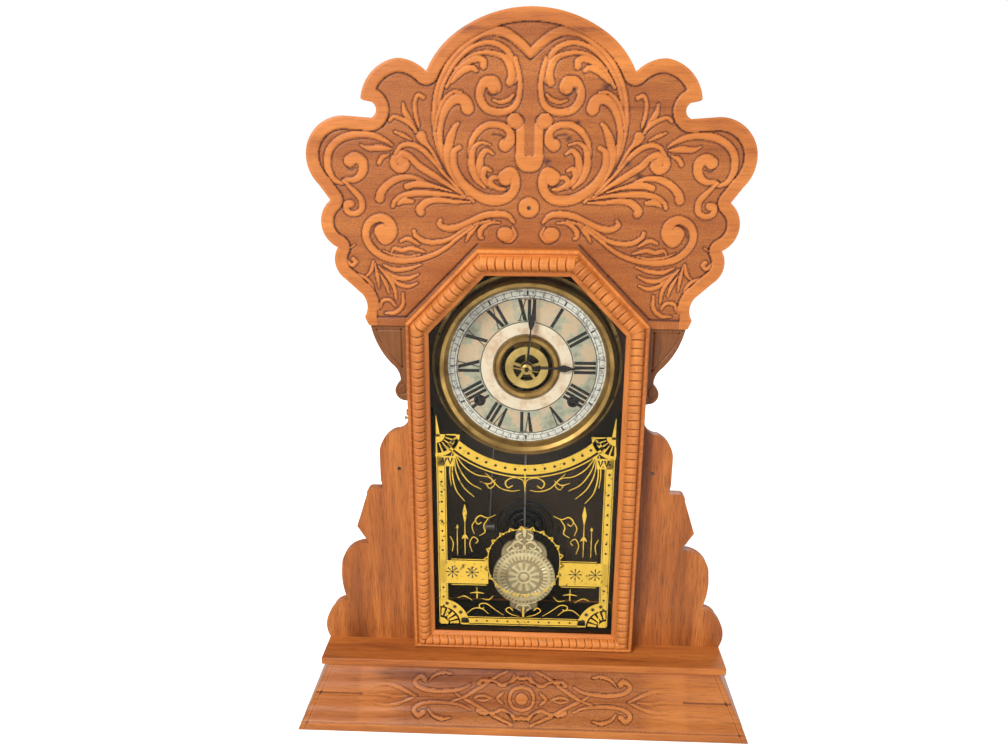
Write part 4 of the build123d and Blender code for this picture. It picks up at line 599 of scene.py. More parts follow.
def stick_front(width):
    """Front of a stick's section as (offset from the outer edge, y)."""
    scale = width / 18.0
    bead = [(1.6 * scale * (1 - cos(a)), -21.4 - 1.7 * sin(a)) for a in np.linspace(0, pi, 9)]
    roll = [((roll_middle - roll_radius * cos(a)) * scale, -21.3 - roll_radius * sin(a))
            for a in np.linspace(0.05, pi - 0.05, 21)]
    return [(0, stick_back), *bead, (3.6 * scale, -20.9), *roll, (14.8 * scale, -21.4), (width, -19.6),
            (width, rebate_front)]


def build_sticks():
    """The six mitred sticks of the door, with scales along their roll."""
    corners = door_corners()
    pitch = settings().rib_pitch / MM
    for index, node in enumerate(stick_nodes):
        (ax, az), (bx, bz) = corners[index], corners[(index + 1) % 6]
        width = stick_widths[index]
        length = hypot(bx - ax, bz - az)
        d = np.array(((bx - ax) / length, (bz - az) / length))
        inward = np.array((-d[1], d[0]))
        starts = np.array(sight_corner(corners, index)) - (ax, az)
        ends = np.array(sight_corner(corners, (index + 1) % 6)) - (bx, bz)
        start_lean = (starts @ d) / (starts @ inward)
        end_lean = (ends @ d) / (ends @ inward)
        rebate = width - rebate_width
        profile = ring_profile(stick_front(width), [(rebate, rebate_front), (rebate, stick_back)], 0.78)

        def place(u, v):
            offset, y, _, _, _, on_front = profile(v)
            first, last = offset * start_lean, length + offset * end_lean
            t = first + (last - first) * u
            middle = (offset - roll_middle * width / 18) / (roll_radius * width / 18)
            on_roll = np.clip((1.05 - np.abs(middle)) / 0.12, 0, 1) * on_front * (y < -20.8)
            beat = (t / pitch + 0.16 * middle**2 + 0.06 * np.sin(t * 0.37)) % 1.0
            rib = (-1.5 * np.exp(-((beat - 0.5) / 0.07)**2)
                   - 0.22 * (1 - np.sin(pi * ((beat + 0.5) % 1.0))))
            rib = rib * (1 - 0.3 * np.clip(-middle, 0, 1))
            on_bead = (offset < 3.3) * on_front * (y < -21.4)
            nick = -0.5 * np.exp(-(((t / pitch) % 1.0 - 0.5) / 0.06)**2)
            height = on_roll * rib + on_bead * nick
            out = np.array((ax, az)) + t[:, None] * d + offset[:, None] * inward
            # Painted shade along the small crease between bead and roll; it darkens the tone only, not the shape.
            groove = ((offset > 3.0) & (offset < 4.3) & on_front) * -0.7
            return np.c_[out[:, 0], np.where(on_front, y - height, y), out[:, 1]], height + groove

        mesh = bmesh.new()
        loft(mesh, max(60, int(length / 0.45)), 54, place)
        lean = degrees(atan2(d[1], d[0])) % 180
        slope = "oak_slope_right" if lean > 90 else "oak_slope_left"
        finish = {0: "oak_rail", 90: "oak_stile"}.get(round(lean), slope)
        finish_mesh(node + "_carved", mesh, finish, "door", (node,))


# Flat painted work: dial and tablet


def flat(x, z, y):
    """Turns a piece made flat to face the front at a place."""
    return Matrix.Translation((x * MM, y * MM, z * MM)) @ Matrix.Rotation(pi / 2, 4, "X")


def disc(mesh, x, z, radius, y, sides=16):
    bmesh.ops.create_circle(mesh, cap_ends=True, segments=sides, radius=radius * MM, matrix=flat(x, z, y))


def patch(mesh, side, x0, z0, x1, z1, y):
    """Flat rectangle, given for the right half and put on either side."""
    x0, x1 = sorted((side * x0, side * x1))
    place = flat((x0 + x1) / 2, (z0 + z1) / 2, y) @ Matrix.Diagonal(((x1 - x0) * MM, (z1 - z0) * MM, 1, 1))
    bmesh.ops.create_grid(mesh, x_segments=1, y_segments=1, size=0.5, matrix=place)


def bar(mesh, start, end, width, y, end_width=None):
    """Flat painted stroke between two points."""
    made = bmesh.ops.create_grid(mesh, x_segments=1, y_segments=1, size=0.5)["verts"]
    across = np.array((-(end[1] - start[1]), end[0] - start[0]), float)
    across /= max(np.hypot(*across), 1e-9)
    for vert in made:
        at, w = (end, end_width or width) if vert.co.x > 0 else (start, width)
        side = 0.5 if vert.co.y > 0 else -0.5
        vert.co = ((at[0] + across[0] * w * side) * MM, y * MM, (at[1] + across[1] * w * side) * MM)


def arc_band(mesh, x, z, inner, outer, first, last, y, steps=48):
    """Flat arc; angles in degrees, anticlockwise from the right."""
    a = radians(first)
    ends = [mesh.verts.new(((x + r * cos(a)) * MM, y * MM, (z + r * sin(a)) * MM)) for r in (inner, outer)]
    edge = mesh.edges.new(ends)
    bmesh.ops.spin(mesh, geom=[*ends, edge], cent=(x * MM, y * MM, z * MM), axis=(0, -1, 0), dvec=(0, 0, 0),
                   angle=radians(last - first), steps=steps, use_merge=abs(last - first) >= 360)


def ribbons(mesh, strokes, y):
    """Tapered painted lines on both sides, drawn as one curve and flattened."""
    curve = bpy.data.curves.new("painted", "CURVE")
    curve.dimensions = "3D"
    curve.bevel_depth, curve.bevel_resolution, curve.use_fill_caps = MM, 0, True
    for side in (1, -1):
        for points, widths in strokes:
            line, share = smooth_line(points, 1.1)
            half = np.interp(share, np.linspace(0, 1, len(widths)), widths) * 0.38
            spline = curve.splines.new("POLY")
            spline.points.add(len(line) - 1)
            for point, (x, z), radius in zip(spline.points, line, half):
                point.co = (side * x * MM, 0, z * MM, 1)
                point.radius = radius
    drawn = bpy.data.objects.new("painted", curve)
    bpy.context.scene.collection.objects.link(drawn)
    data = bpy.data.meshes.new_from_object(drawn.evaluated_get(bpy.context.evaluated_depsgraph_get()))
    data.transform(Matrix.Translation((0, y * MM, 0)) @ Matrix.Diagonal((1, 0.06, 1, 1)))
    mesh.from_mesh(data)
    bpy.data.objects.remove(drawn)
    bpy.data.curves.remove(curve)
    bpy.data.meshes.remove(data)


def face_front(mesh):
    """Turns flat faces towards the front."""
    mesh.normal_update()
    bmesh.ops.reverse_faces(mesh, faces=[f for f in mesh.faces if f.normal.y > 0.5])


numerals = ("I", "II", "III", "IIII", "V", "VI", "VII", "VIII", "IX", "X", "XI", "XII")
advance = {"I": 4.0, "V": 7.2, "X": 7.2}


def build_dial():
    """Roman numerals, rings, minute track and the rims of the winding holes."""
    middle = dial_middle() / MM
    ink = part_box("dial_pan")[0].y / MM - 0.06
    top, lean = numeral_height, numeral_lean
    mesh = bmesh.new()
    for hour, letters in enumerate(numerals, 1):
        turn = radians(30 * hour)
        out, right = (sin(turn), cos(turn)), (cos(turn), -sin(turn))

        def at(across, up):
            reach = numeral_foot + up
            return right[0] * across + out[0] * reach, middle + right[1] * across + out[1] * reach

        cursor = -sum(advance[letter] for letter in letters) / 2
        for letter in letters:
            c = cursor + advance[letter] / 2
            cursor += advance[letter]
            if letter == "I":
                bar(mesh, at(c, 0), at(c, top), 2.7, ink)
                feet = [(c, 0), (c, top)]
            elif letter == "V":
                bar(mesh, at(c, 0.2), at(c - lean, top), 1.9, ink, 3.0)
                bar(mesh, at(c, 0.2), at(c + lean, top), 0.8, ink - 0.01)
                feet = [(c - lean, top), (c + lean, top)]
            else:
                bar(mesh, at(c + lean, 0), at(c - lean, top), 2.9, ink)
                bar(mesh, at(c - lean, 0), at(c + lean, top), 0.8, ink - 0.01)
                feet = [(c + s * lean, e) for s in (-1, 1) for e in (0, top)]
            for x, up in feet:
                bar(mesh, at(x - 1.6, up), at(x + 1.6, up), 0.55, ink - 0.02)
    for radius, width in ((38.3, 0.7), (58.0, 0.7), (27.9, 0.5), (track_inner, 0.35), (track_outer, 0.35)):
        arc_band(mesh, 0, middle, radius - width / 2, radius + width / 2, 0, 360, ink, 120)
    for minute in range(60):
        turn = radians(6 * minute)
        wide = 1.3 if minute % 5 == 0 else 0.45
        inner, outer = [(r * sin(turn), middle + r * cos(turn)) for r in (track_inner, track_outer)]
        bar(mesh, inner, outer, wide, ink - 0.01)
    for x in (-winding_x, winding_x):
        arc_band(mesh, x, middle - winding_drop, 3.3, 5.0, 0, 360, ink - 0.03, 32)
    face_front(mesh)
    finish_mesh("dial_print", mesh, "dial_ink", "case", smooth=False)


# Tablet strokes, right half, in millimetres

tablet_lines = [
    # Side columns and bottom strip
    (((65.6, 76), (65.6, 231)), (1.0,)), (((72.6, 76), (72.6, 248)), (1.0,)),
    (((0, 82.6), (52, 82.6)), (0.9,)), (((0, 75.2), (52, 75.2)), (0.9,)),
    (((-62, 114.2), (-32, 114.2)), (0.9,)), (((-62, 138.6), (-31, 138.6)), (0.9,)),
    # Ring round the window for the bob
    (((0, 105.4), (16, 109), (28, 122), (30.6, 137), (28, 152), (16, 164.5), (0, 168.8)), (0.8,)),
    # Sprays under the dial arc
    (((58, 236), (50, 224), (40, 217), (30, 215), (25, 209), (29, 205), (32, 209)), (1.0, 1.2, 1.0, 1.0)),
    (((58, 236), (54, 222), (46, 210), (36, 204)), (0.8, 1.4, 0.7)),
    (((58, 236), (57, 220), (51, 206), (42, 197)), (0.8, 1.4, 0.7)),
    (((58, 236), (60, 219), (57, 203), (50, 193)), (0.8, 1.4, 0.7)),
    (((60, 236), (62, 220), (61, 207)), (0.8, 1.2, 0.6)),
    (((0, 206), (2, 213), (10, 215), (16, 211), (14, 206), (10, 208)), (0.7, 1.1, 1.4, 1.1)),
    (((4, 204), (12, 203), (21, 206), (27, 213), (33, 219)), (0.6, 1.2, 1.0, 0.7)),
    (((0, 220), (0.1, 203)), (1.6, 0.6)),
    (((24, 213), (30, 209), (37, 211)), (0.6, 1.4, 0.6)),
    # Side spikes and brackets
    (((50, 143), (50, 160), (50, 177)), (0.6, 1.3, 0.5)),
    (((56.5, 143), (56.5, 156), (56.5, 168)), (0.6, 1.1, 0.5)),
    (((50, 174), (50, 181), (50, 190)), (1.2, 5.0, 0.6)),
    (((47.5, 158), (50, 161), (52.5, 158)), (0.8, 4.0, 0.8)),
    (((56.5, 168), (56.3, 171)), (3.2, 0.8)),
    (((44, 146), (46, 154), (43, 160), (39, 157), (41, 154)), (0.7, 1.2, 1.0)),
    (((61, 146), (60, 154), (62.5, 160)), (0.7, 1.2, 0.8)),
    (((24, 181), (31, 178), (37, 180), (41, 176), (39, 172), (36, 174)), (0.6, 1.4, 1.1)),
    (((30, 178), (34, 171), (33, 165), (38, 161)), (0.7, 1.5, 0.7)),
    (((41, 176), (44, 170), (42, 163)), (0.7, 1.2, 0.6)),
    # Foot of the tablet
    (((0, 84), (0.1, 97)), (2.6, 0.6)),
    (((3, 84), (10, 86), (15, 90), (12, 93), (9, 90)), (0.7, 1.2, 1.3)),
    (((17, 85), (24, 90), (32, 96), (38, 95), (37, 91), (34, 92)), (0.6, 1.2, 1.3)),
    (((30, 86), (36, 91), (43, 91), (49, 86)), (0.7, 1.3, 0.7)),
    (((34, 106), (40, 107), (46, 106)), (0.6, 2.0, 0.6)), (((40, 101), (40.1, 112)), (1.6, 0.6)),
    (((44, 99), (51, 103), (57, 101)), (0.6, 1.4, 0.6)),
    (((26, 104), (30, 100), (36, 101)), (0.6, 1.2, 0.6)),
]


def ray_star(mesh, x, z, radius, y):
    """Star of eight rays round a dot."""
    for ray in range(8):
        turn = ray * pi / 4
        root, tip = [(x + r * cos(turn), z + r * sin(turn)) for r in (1.0, radius)]
        bar(mesh, root, tip, 0.35, y, 1.3)
    disc(mesh, x, z, 1.1, y - 0.002, 10)


def build_tablet():
    """Gilt work behind the glass, and the black marks on it."""
    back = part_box("door_glass")[1].y / MM
    gilt_y, black_y = back + 0.10, back + 0.05
    arc_z = dial_middle() / MM + 7.5
    corner_x, corner_z = 72, 75
    fan_x, fan_z = 73.0, 252
    window_z, window_radius, leaves = 137, 31, 44
    gilt = bmesh.new()
    black = bmesh.new()
    ribbons(gilt, tablet_lines, gilt_y)
    # Band under the dial
    arc_band(gilt, 0, arc_z, 82.5, 91.0, 226, 314, gilt_y, 60)
    arc_band(gilt, 0, arc_z, 93.0, 94.0, 226, 314, gilt_y, 60)
    for step in range(-8, 9):
        turn = radians(270 + step * 5.4)
        disc(black, 86.8 * cos(turn), arc_z + 86.8 * sin(turn), 1.2, black_y)
    for side in (-1, 1):
        # Crossbar with two stars, column, foot strip
        patch(gilt, side, 30.4, 115.4, 71.4, 137.4, gilt_y)
        for x in (61.0, 44.0):
            ray_star(black, side * x, 126.4, 5.6, black_y)
        patch(gilt, side, 66.4, 98, 71.8, 232, gilt_y)
        for row in range(17):
            if not 112 < 84 + row * 9 < 141:
                disc(black, side * 69.1, 84 + row * 9, 1.0, black_y)
        patch(gilt, side, 0, 76.4, 54, 81.4, gilt_y)
        for column in range(6):
            disc(black, side * (4.5 + column * 9), 78.9, 0.9, black_y)
        # Lower corner: a starred quarter ring round a quarter fan
        corner = side * corner_x
        first, last = (90, 180) if side > 0 else (0, 90)
        arc_band(gilt, corner, corner_z, 17.5, 25.0, first, last, gilt_y, 18)
        for leaf in range(4):
            turn = radians(first + 14 + leaf * 20)
            ray_star(black, corner + 21.3 * cos(turn), corner_z + 21.3 * sin(turn), 1.7, black_y)
        arc_band(gilt, corner, corner_z, 0.2, 6.5, first, last, gilt_y, 8)
        for wedge in range(5):
            start = first + 3 + wedge * 18
            arc_band(gilt, corner, corner_z, 8.5, 16, start, start + 11, gilt_y, 3)
        # Upper corner: a fan under a spike, over a marked patch
        fan = side * fan_x
        first, last = (180, 272) if side > 0 else (268, 360)
        arc_band(gilt, fan, fan_z, 0.3, 7.5, first, last, gilt_y, 8)
        arc_band(gilt, fan, fan_z, 16.5, 19.5, first, last, gilt_y, 14)
        for wedge in range(6):
            start = first + 1 + wedge * 17.5
            arc_band(gilt, fan, fan_z, 8.2, 16.5, start, start + 5, gilt_y, 3)
        bar(gilt, (side * 72.6, 268), (side * 71.2, 250), 0.4, gilt_y, 3.4)
        patch(gilt, side, 58.5, 224, 71.8, 233.2, gilt_y)
        for x in (61.5, 66.5):
            for tip in (x + 1.8, x - 1.8):
                bar(black, (side * x, 226), (side * tip, 231.5), 0.5, black_y, 1.6)
    # Leaves round the window
    for leaf in range(leaves):
        turn = radians(leaf * 360 / leaves)
        lean = turn + (0.075 if leaf % 2 else -0.075)
        root = (window_radius * cos(turn), window_z + window_radius * sin(turn))
        bar(gilt, root, (34.4 * cos(lean), window_z + 34.4 * sin(lean)), 1.7, gilt_y, 0.5)
    face_front(gilt)
    face_front(black)
    finish_mesh("tablet_gilt", gilt, "gilt_paint", "door", smooth=False)
    finish_mesh("tablet_black", black, "black_paint", "door", smooth=False)


# Finishes


def linear(colour):
    """Scene-linear colour of a display colour."""
    return (*[c / 12.92 if c <= 0.04045 else ((c + 0.055) / 1.055)**2.4 for c in colour], 1.0)


def scaled(colour, factor):
    """A lighter or darker colour."""
    return tuple(min(1, c * factor) for c in colour)


class Finish:
    """A procedural material and short ways to add its nodes."""

    def __init__(self, name, **plain):
        self.material = bpy.data.materials.new(name + "_finish")
        finishes[name] = self.material
        self.material.use_nodes = True
        self.tree = self.material.node_tree
        self.shader = self.tree.nodes["Principled BSDF"]
        for key, value in plain.items():
            self.shader.inputs[key.replace("_", " ")].default_value = value
        self.coordinates = self.tree.nodes.new("ShaderNodeTexCoord").outputs["Object"]

    def add(self, kind, inputs, **options):
        made = self.tree.nodes.new(kind)
        for key, value in options.items():
            setattr(made, key, value)
        for key, value in inputs.items():
            if isinstance(value, bpy.types.NodeSocket):
                self.tree.links.new(value, made.inputs[key])
            else:
                made.inputs[key].default_value = value
        return made

    def placed(self, scale=(1, 1, 1), turn=0.0, centre=(0, 0, 0)):
        moved = self.add("ShaderNodeVectorMath", {0: self.coordinates, 1: centre},
                         operation="SUBTRACT").outputs[0]
        turned = self.add("ShaderNodeMapping", {"Vector": moved, "Rotation": (0, radians(turn), 0)}).outputs[0]
        return self.add("ShaderNodeMapping", {"Vector": turned, "Scale": scale}).outputs[0]

    def axes(self):
        return self.add("ShaderNodeSeparateXYZ", {0: self.coordinates}).outputs

    def noise(self, vector, scale, detail=4.0, roughness=0.55):
        return self.add("ShaderNodeTexNoise", {"Vector": vector, "Scale": scale, "Detail": detail,
                                               "Roughness": roughness}).outputs["Fac"]

    def ramp(self, factor, stops):
        made = self.add("ShaderNodeValToRGB", {"Fac": factor})
        elements = made.color_ramp.elements
        elements[0].position, elements[0].color = stops[0]
        elements[1].position, elements[1].color = stops[-1]
        for position, colour in stops[1:-1]:
            elements.new(position).color = colour
        return made.outputs["Color"]

    def grey(self, factor, *stops):
        return self.ramp(factor, [(place, (value, value, value, 1)) for place, value in stops])

    def mix(self, factor, first, second):
        return self.add("ShaderNodeMix", {0: factor, 6: first, 7: second}, data_type="RGBA").outputs[2]

    def math(self, operation, first, second):
        return self.add("ShaderNodeMath", {0: first, 1: second}, operation=operation).outputs[0]

    def bump(self, height, strength, distance):
        self.feed("Normal", self.add("ShaderNodeBump", {"Height": height, "Strength": strength,
                                                        "Distance": distance}).outputs[0])

    def feed(self, name, socket):
        self.tree.links.new(socket, self.shader.inputs[name])


def oak_finish(name, grain, turn=0.0, tint=1.0, relief=False, streaks=0.5, stipple=True, pores=0.5):
    """Oak with long streaks, pores and, on carved work, a painted highlight on the raised bands, painted shade on
    the sunk ground and in the hollows, and a stippled ground.
    """
    light, middle, dark = [scaled(colour, tint) for colour in
                           (settings().oak_light, settings().oak_middle, settings().oak_dark)]
    finish = Finish(name, Specular_IOR_Level=0.32, Coat_Weight=0.04, Coat_Roughness=0.3)
    along = {"x": (5, 55, 55), "y": (55, 5, 55), "z": (55, 55, 5)}[grain]
    fine = {"x": (55, 900, 900), "y": (900, 55, 900), "z": (900, 900, 55)}[grain]
    streak = finish.noise(finish.placed(along, turn), 1.0, 6, 0.6)
    pore = finish.noise(finish.placed(fine, turn), 1.0, 3, 0.7)
    blotch = finish.noise(finish.coordinates, 14.0, 3)
    colour = finish.ramp(streak, [(0.30, linear(dark)), (0.30 + 0.22 * streaks, linear(middle)),
                                  (0.66, linear(light)), (0.8, linear(middle))])
    colour = finish.mix(finish.grey(blotch, (0.35, 0.0), (0.75, 0.45)), colour, linear(middle))
    colour = finish.mix(finish.grey(pore, (0.30, pores), (0.50, 0.0)), colour, linear(scaled(dark, 0.62)))
    height = pore
    if relief:
        tone = finish.add("ShaderNodeAttribute", {}, attribute_name="relief").outputs["Fac"]
        # Painted highlight: the raised bands of the carving are lightened by their height.
        raised_highlight = finish.grey(tone, (0.62, 0.0), (0.80, 0.25), (0.86, 0.25), (0.905, 0.0))
        colour = finish.mix(raised_highlight, colour, linear(scaled(light, 1.06)))
        ground = finish.grey(tone, (0.30, 1.0), (0.47, 0.9), (0.60, 0.0))
        stippled = finish.noise(finish.coordinates, 1500.0, 2)
        # Painted shade on the sunk ground, darker the deeper it lies, broken up by the stipple.
        sunk = finish.math("MULTIPLY", ground, finish.grey(stippled, (0.36, 0.75), (0.60, 0.10)))
        colour = finish.mix(sunk, colour, linear(scaled(dark, 1.15)))
        # Painted shade in the deep hollows of the carving.
        hollow_shade = finish.grey(tone, (0.02, 1.0), (0.30, 0.55), (0.43, 0.0))
        colour = finish.mix(hollow_shade, colour, linear((0.27, 0.12, 0.06)))
        if stipple:
            height = finish.mix(ground, pore, stippled)
    finish.feed("Base Color", colour)
    finish.feed("Roughness", finish.grey(blotch, (0.3, 0.42), (0.7, 0.58)))
    finish.bump(height, 0.5, 0.0004)
    return finish


def paint_shade_over(finish, share, colour):
    """Lays a painted shade colour over part of a finish."""
    shade = finish.shader.inputs["Base Color"].links[0].from_socket
    finish.feed("Base Color", finish.mix(share, shade, linear(colour)))


def metal_finish(name, colour, dark, metallic=0.9, rough=(0.28, 0.5), scale=60.0, spots=0.5, relief=False):
    """Metal with tarnish patches, fine scratches and uneven gloss."""
    finish = Finish(name, Metallic=metallic)
    patches = finish.noise(finish.coordinates, scale, 6, 0.65)
    scratches = finish.noise(finish.placed((2200, 300, 300)), 1.0, 2)
    shade = finish.mix(finish.grey(patches, (0.38, spots), (0.62, 0.0)), linear(colour), linear(dark))
    shade = finish.mix(finish.grey(scratches, (0.35, 0.25), (0.6, 0.0)), shade, linear(dark))
    if relief:
        tone = finish.add("ShaderNodeAttribute", {}, attribute_name="relief").outputs["Fac"]
        shade = finish.mix(finish.grey(tone, (0.35, 0.85), (0.70, 0.35), (0.85, 0.0)), shade,
                           linear(scaled(dark, 0.5)))
    finish.feed("Base Color", shade)
    finish.feed("Roughness", finish.grey(patches, (0.3, rough[1]), (0.7, rough[0])))
    finish.bump(scratches, 0.25, 0.0002)


def paint_finish(name, colour, worn, wear, rough=0.5, scale=260.0, metallic=0.0):
    """Paint rubbed through in small spots."""
    finish = Finish(name, Metallic=metallic)
    spots = finish.noise(finish.coordinates, scale, 5, 0.7)
    clouds = finish.noise(finish.coordinates, 30.0, 3)
    shade = finish.mix(finish.grey(clouds, (0.35, 0.35), (0.65, 0.0)), linear(colour),
                       linear(scaled(colour, 0.8)))
    finish.feed("Base Color", finish.mix(finish.grey(spots, (0.33, wear), (0.42, 0.0)), shade, linear(worn)))
    finish.feed("Roughness", finish.grey(spots, (0.3, min(1, rough + 0.2)), (0.7, rough)))
    finish.bump(spots, 0.2, 0.0001)


def dial_finish():
    """Printed paper dial, pale outside and inside, with grey and tan stains under the numerals."""
    finish = Finish("dial_paper", Specular_IOR_Level=0.3)
    round_middle = finish.placed((1, 0, 1), 0.0, (0, 0, dial_middle()))
    away = finish.add("ShaderNodeVectorMath", {0: round_middle}, operation="LENGTH")
    radius = finish.math("MULTIPLY", away.outputs["Value"], 10.0)
    stains = finish.noise(finish.coordinates, 62.0, 8, 0.72)
    specks = finish.noise(finish.coordinates, 420.0, 4, 0.7)
    cream = finish.mix(finish.grey(stains, (0.46, 0.0), (0.60, 0.8)), linear((0.94, 0.88, 0.76)),
                       linear((0.84, 0.70, 0.54)))
    grey_green = finish.mix(finish.grey(stains, (0.47, 0.0), (0.53, 1.0)), linear((0.70, 0.71, 0.61)),
                            linear((0.84, 0.74, 0.60)))
    grey_green = finish.mix(finish.grey(stains, (0.36, 1.0), (0.44, 0.0)), grey_green, linear((0.60, 0.60, 0.51)))
    ring = finish.grey(radius, (0.376, 0.0), (0.384, 1.0), (0.576, 1.0), (0.584, 0.0))
    colour = finish.mix(ring, cream, grey_green)
    track = finish.grey(radius, (0.576, 0.0), (0.584, 1.0))
    colour = finish.mix(track, colour, linear((0.93, 0.93, 0.87)))
    scuffs = finish.math("MULTIPLY", track, finish.grey(specks, (0.52, 0.0), (0.60, 0.7)))
    colour = finish.mix(scuffs, colour, linear((0.42, 0.38, 0.33)))
    colour = finish.mix(finish.grey(specks, (0.26, 0.8), (0.36, 0.0)), colour, linear((0.55, 0.40, 0.28)))
    finish.feed("Base Color", colour)
    finish.feed("Roughness", finish.grey(stains, (0.3, 0.5), (0.7, 0.7)))
    finish.bump(specks, 0.3, 0.00015)


def make_finishes():
    brass = tuple(settings().brass_colour)
    oak_finish("oak_carved", "x", relief=True, tint=0.97, streaks=0.4, pores=0.35)
    oak_finish("oak_moulding", "x", relief=True, tint=0.91, stipple=False, pores=0.4)
    # Painted shade: the corbels get a much darker copy of the oak, for where they sit back under the crest.
    oak_finish("oak_corbel_shaded", "z", relief=True, tint=0.62, stipple=False)
    oak_finish("oak_upright", "z", tint=0.92, streaks=1.0, pores=0.6)
    oak_finish("oak_level", "x", tint=0.88, streaks=0.7)
    oak_finish("oak_end", "y", tint=0.90, streaks=0.7)
    oak_finish("oak_rail", "x", relief=True, tint=1.04, stipple=False, pores=0.3)
    oak_finish("oak_stile", "z", relief=True, tint=0.98, stipple=False, pores=0.3)
    oak_finish("oak_slope_left", "x", turn=-46.0, relief=True, tint=1.0, stipple=False, pores=0.3)
    oak_finish("oak_slope_right", "x", turn=46.0, relief=True, tint=1.0, stipple=False, pores=0.3)
    metal_finish("old_brass", brass, (0.42, 0.31, 0.15), spots=0.7)
    metal_finish("movement_brass", scaled(brass, 1.08), (0.50, 0.38, 0.20), spots=0.4)
    metal_finish("shaded_brass", (0.22, 0.18, 0.11), (0.12, 0.09, 0.06), spots=0.5)
    metal_finish("disc_brass", (0.84, 0.72, 0.42), (0.50, 0.40, 0.20), spots=0.5)
    # Painted sheen: the bob gets a pale, nearly matt copy of the brass that shows as brightly lit.
    metal_finish("bob_brass", (1.0, 0.94, 0.72), (0.80, 0.66, 0.42), metallic=0.15, rough=(0.3, 0.48), scale=90.0,
                 spots=0.5, relief=True)
    metal_finish("steel", (0.55, 0.54, 0.52), (0.30, 0.24, 0.19), spots=0.6)
    metal_finish("steel_nails", (0.36, 0.33, 0.30), (0.20, 0.12, 0.08), rough=(0.45, 0.7), spots=0.8)
    metal_finish("blued_steel", (0.25, 0.26, 0.30), (0.14, 0.11, 0.10), spots=0.6)
    metal_finish("cast_black", (0.09, 0.09, 0.09), (0.05, 0.04, 0.04), metallic=0.3, rough=(0.4, 0.6),
                 spots=0.4)
    metal_finish("hand_black", (0.07, 0.065, 0.06), (0.15, 0.10, 0.07), metallic=0.3, rough=(0.35, 0.55),
                 spots=0.4)
    paint_finish("dial_ink", (0.07, 0.065, 0.06), (0.45, 0.42, 0.36), 0.55, rough=0.55, scale=500.0)
    paint_finish("gilt_paint", tuple(settings().gilt_colour), (0.22, 0.19, 0.10), 0.85, rough=0.38,
                 metallic=0.1)
    paint_finish("black_paint", (0.04, 0.04, 0.035), (0.2, 0.17, 0.09), 0.5, rough=0.4)
    dial_finish()

    # Boards with painted shade where they face the inside of the case
    pine = oak_finish("back_pine", "z", tint=0.80, streaks=0.8)
    paint_shade_over(pine, pine.grey(pine.axes()[1], (0.0590, 1.0), (0.0596, 0.0)), (0.15, 0.165, 0.14))
    sides = oak_finish("oak_case", "z", tint=0.85, streaks=0.8)
    across = sides.math("ABSOLUTE", sides.axes()[0], 0.0)
    paint_shade_over(sides, sides.grey(across, (0.0860, 1.0), (0.0864, 0.0)), (0.09, 0.085, 0.07))
    oak_finish("oak_shaded", "z", tint=0.30)
    deck = oak_finish("oak_deck", "x", tint=0.96, streaks=0.5, pores=0.35)
    place = deck.axes()
    behind_door = deck.grey(place[1], (0.0, 0.0), (0.002, 1.0), (0.0575, 1.0), (0.0585, 0.0))
    between_sides = deck.grey(deck.math("ABSOLUTE", place[0], 0.0), (0.083, 1.0), (0.0845, 0.0))
    paint_shade_over(deck, deck.math("MULTIPLY", behind_door, between_sides), (0.09, 0.075, 0.06))

    # Glass with a faint grey-green haze: a painted reflection veil, with paler dust patches.
    glass = Finish("clear_glass", Alpha=0.07, Roughness=0.04, IOR=1.5)
    veil_and_dust = glass.noise(glass.coordinates, 35.0, 5)
    shade = glass.mix(glass.grey(veil_and_dust, (0.35, 0.0), (0.75, 0.5)), linear((0.10, 0.11, 0.09)),
                      linear((0.34, 0.33, 0.24)))
    glass.feed("Base Color", shade)
    glass.feed("Roughness", glass.grey(veil_and_dust, (0.3, 0.03), (0.7, 0.10)))


node_finishes = {
    "oak_upright": ("left_wing", "right_wing", "glue_blocks"),
    "oak_level": ("case_top_board",),
    "oak_end": ("base_left_board", "base_right_board"),
    "oak_deck": ("base_deck",),
    "oak_shaded": ("dial_rails", "glass_strips"),
    "oak_case": ("case_left_side", "case_right_side"),
    "back_pine": ("back_board",),
    "old_brass": ("dial_bezel", "dial_inner_ring", "hinge_case_leaves", "hinge_door_leaves", "brass_screws_case",
                  "brass_screws_door", "latch_hook"),
    "disc_brass": ("alarm_disc", "hand_collet", "hand_pin"),
    "shaded_brass": ("front_plate", "hour_wheel", "cannon_pinion"),
    "movement_brass": ("back_plate", "plate_pillars", "escape_wheel", "third_wheel", "centre_arbor",
                       "second_wheel", "time_great_wheel", "strike_great_wheel", "minute_wheel", "suspension_post"),
    "steel": ("time_winding_arbor", "strike_winding_arbor", "pendulum_rod", "verge", "hammer", "wood_screws"),
    "steel_nails": ("case_nails",),
    "blued_steel": ("mainsprings", "gong_coil"),
    "cast_black": ("gong_base",),
    "hand_black": ("minute_hand", "hour_hand"),
    "dial_paper": ("dial_pan",),
    "clear_glass": ("door_glass",),
}


# Operators, one for each piece or group of like pieces


class CLOCK_OT_finishes(bpy.types.Operator):
    """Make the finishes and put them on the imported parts"""

    bl_idname = "shelf_clock.finishes"
    bl_label = "Finishes"

    def execute(self, context):
        make_finishes()
        for finish, nodes in node_finishes.items():
            for node in nodes:
                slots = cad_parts[node].data.materials
                slots.clear()
                slots.append(finishes[finish])
        return {"FINISHED"}


class CLOCK_OT_crest(bpy.types.Operator):
    """Carve the crest board"""

    bl_idname = "shelf_clock.crest"
    bl_label = "Crest"

    def execute(self, context):
        carved_board("crest_carved", "crest_board", crest_front, crest_back, crest_relief,
                     settings().carving_cell / MM, "oak_carved", "case", holes=(crest_nail,))
        return {"FINISHED"}


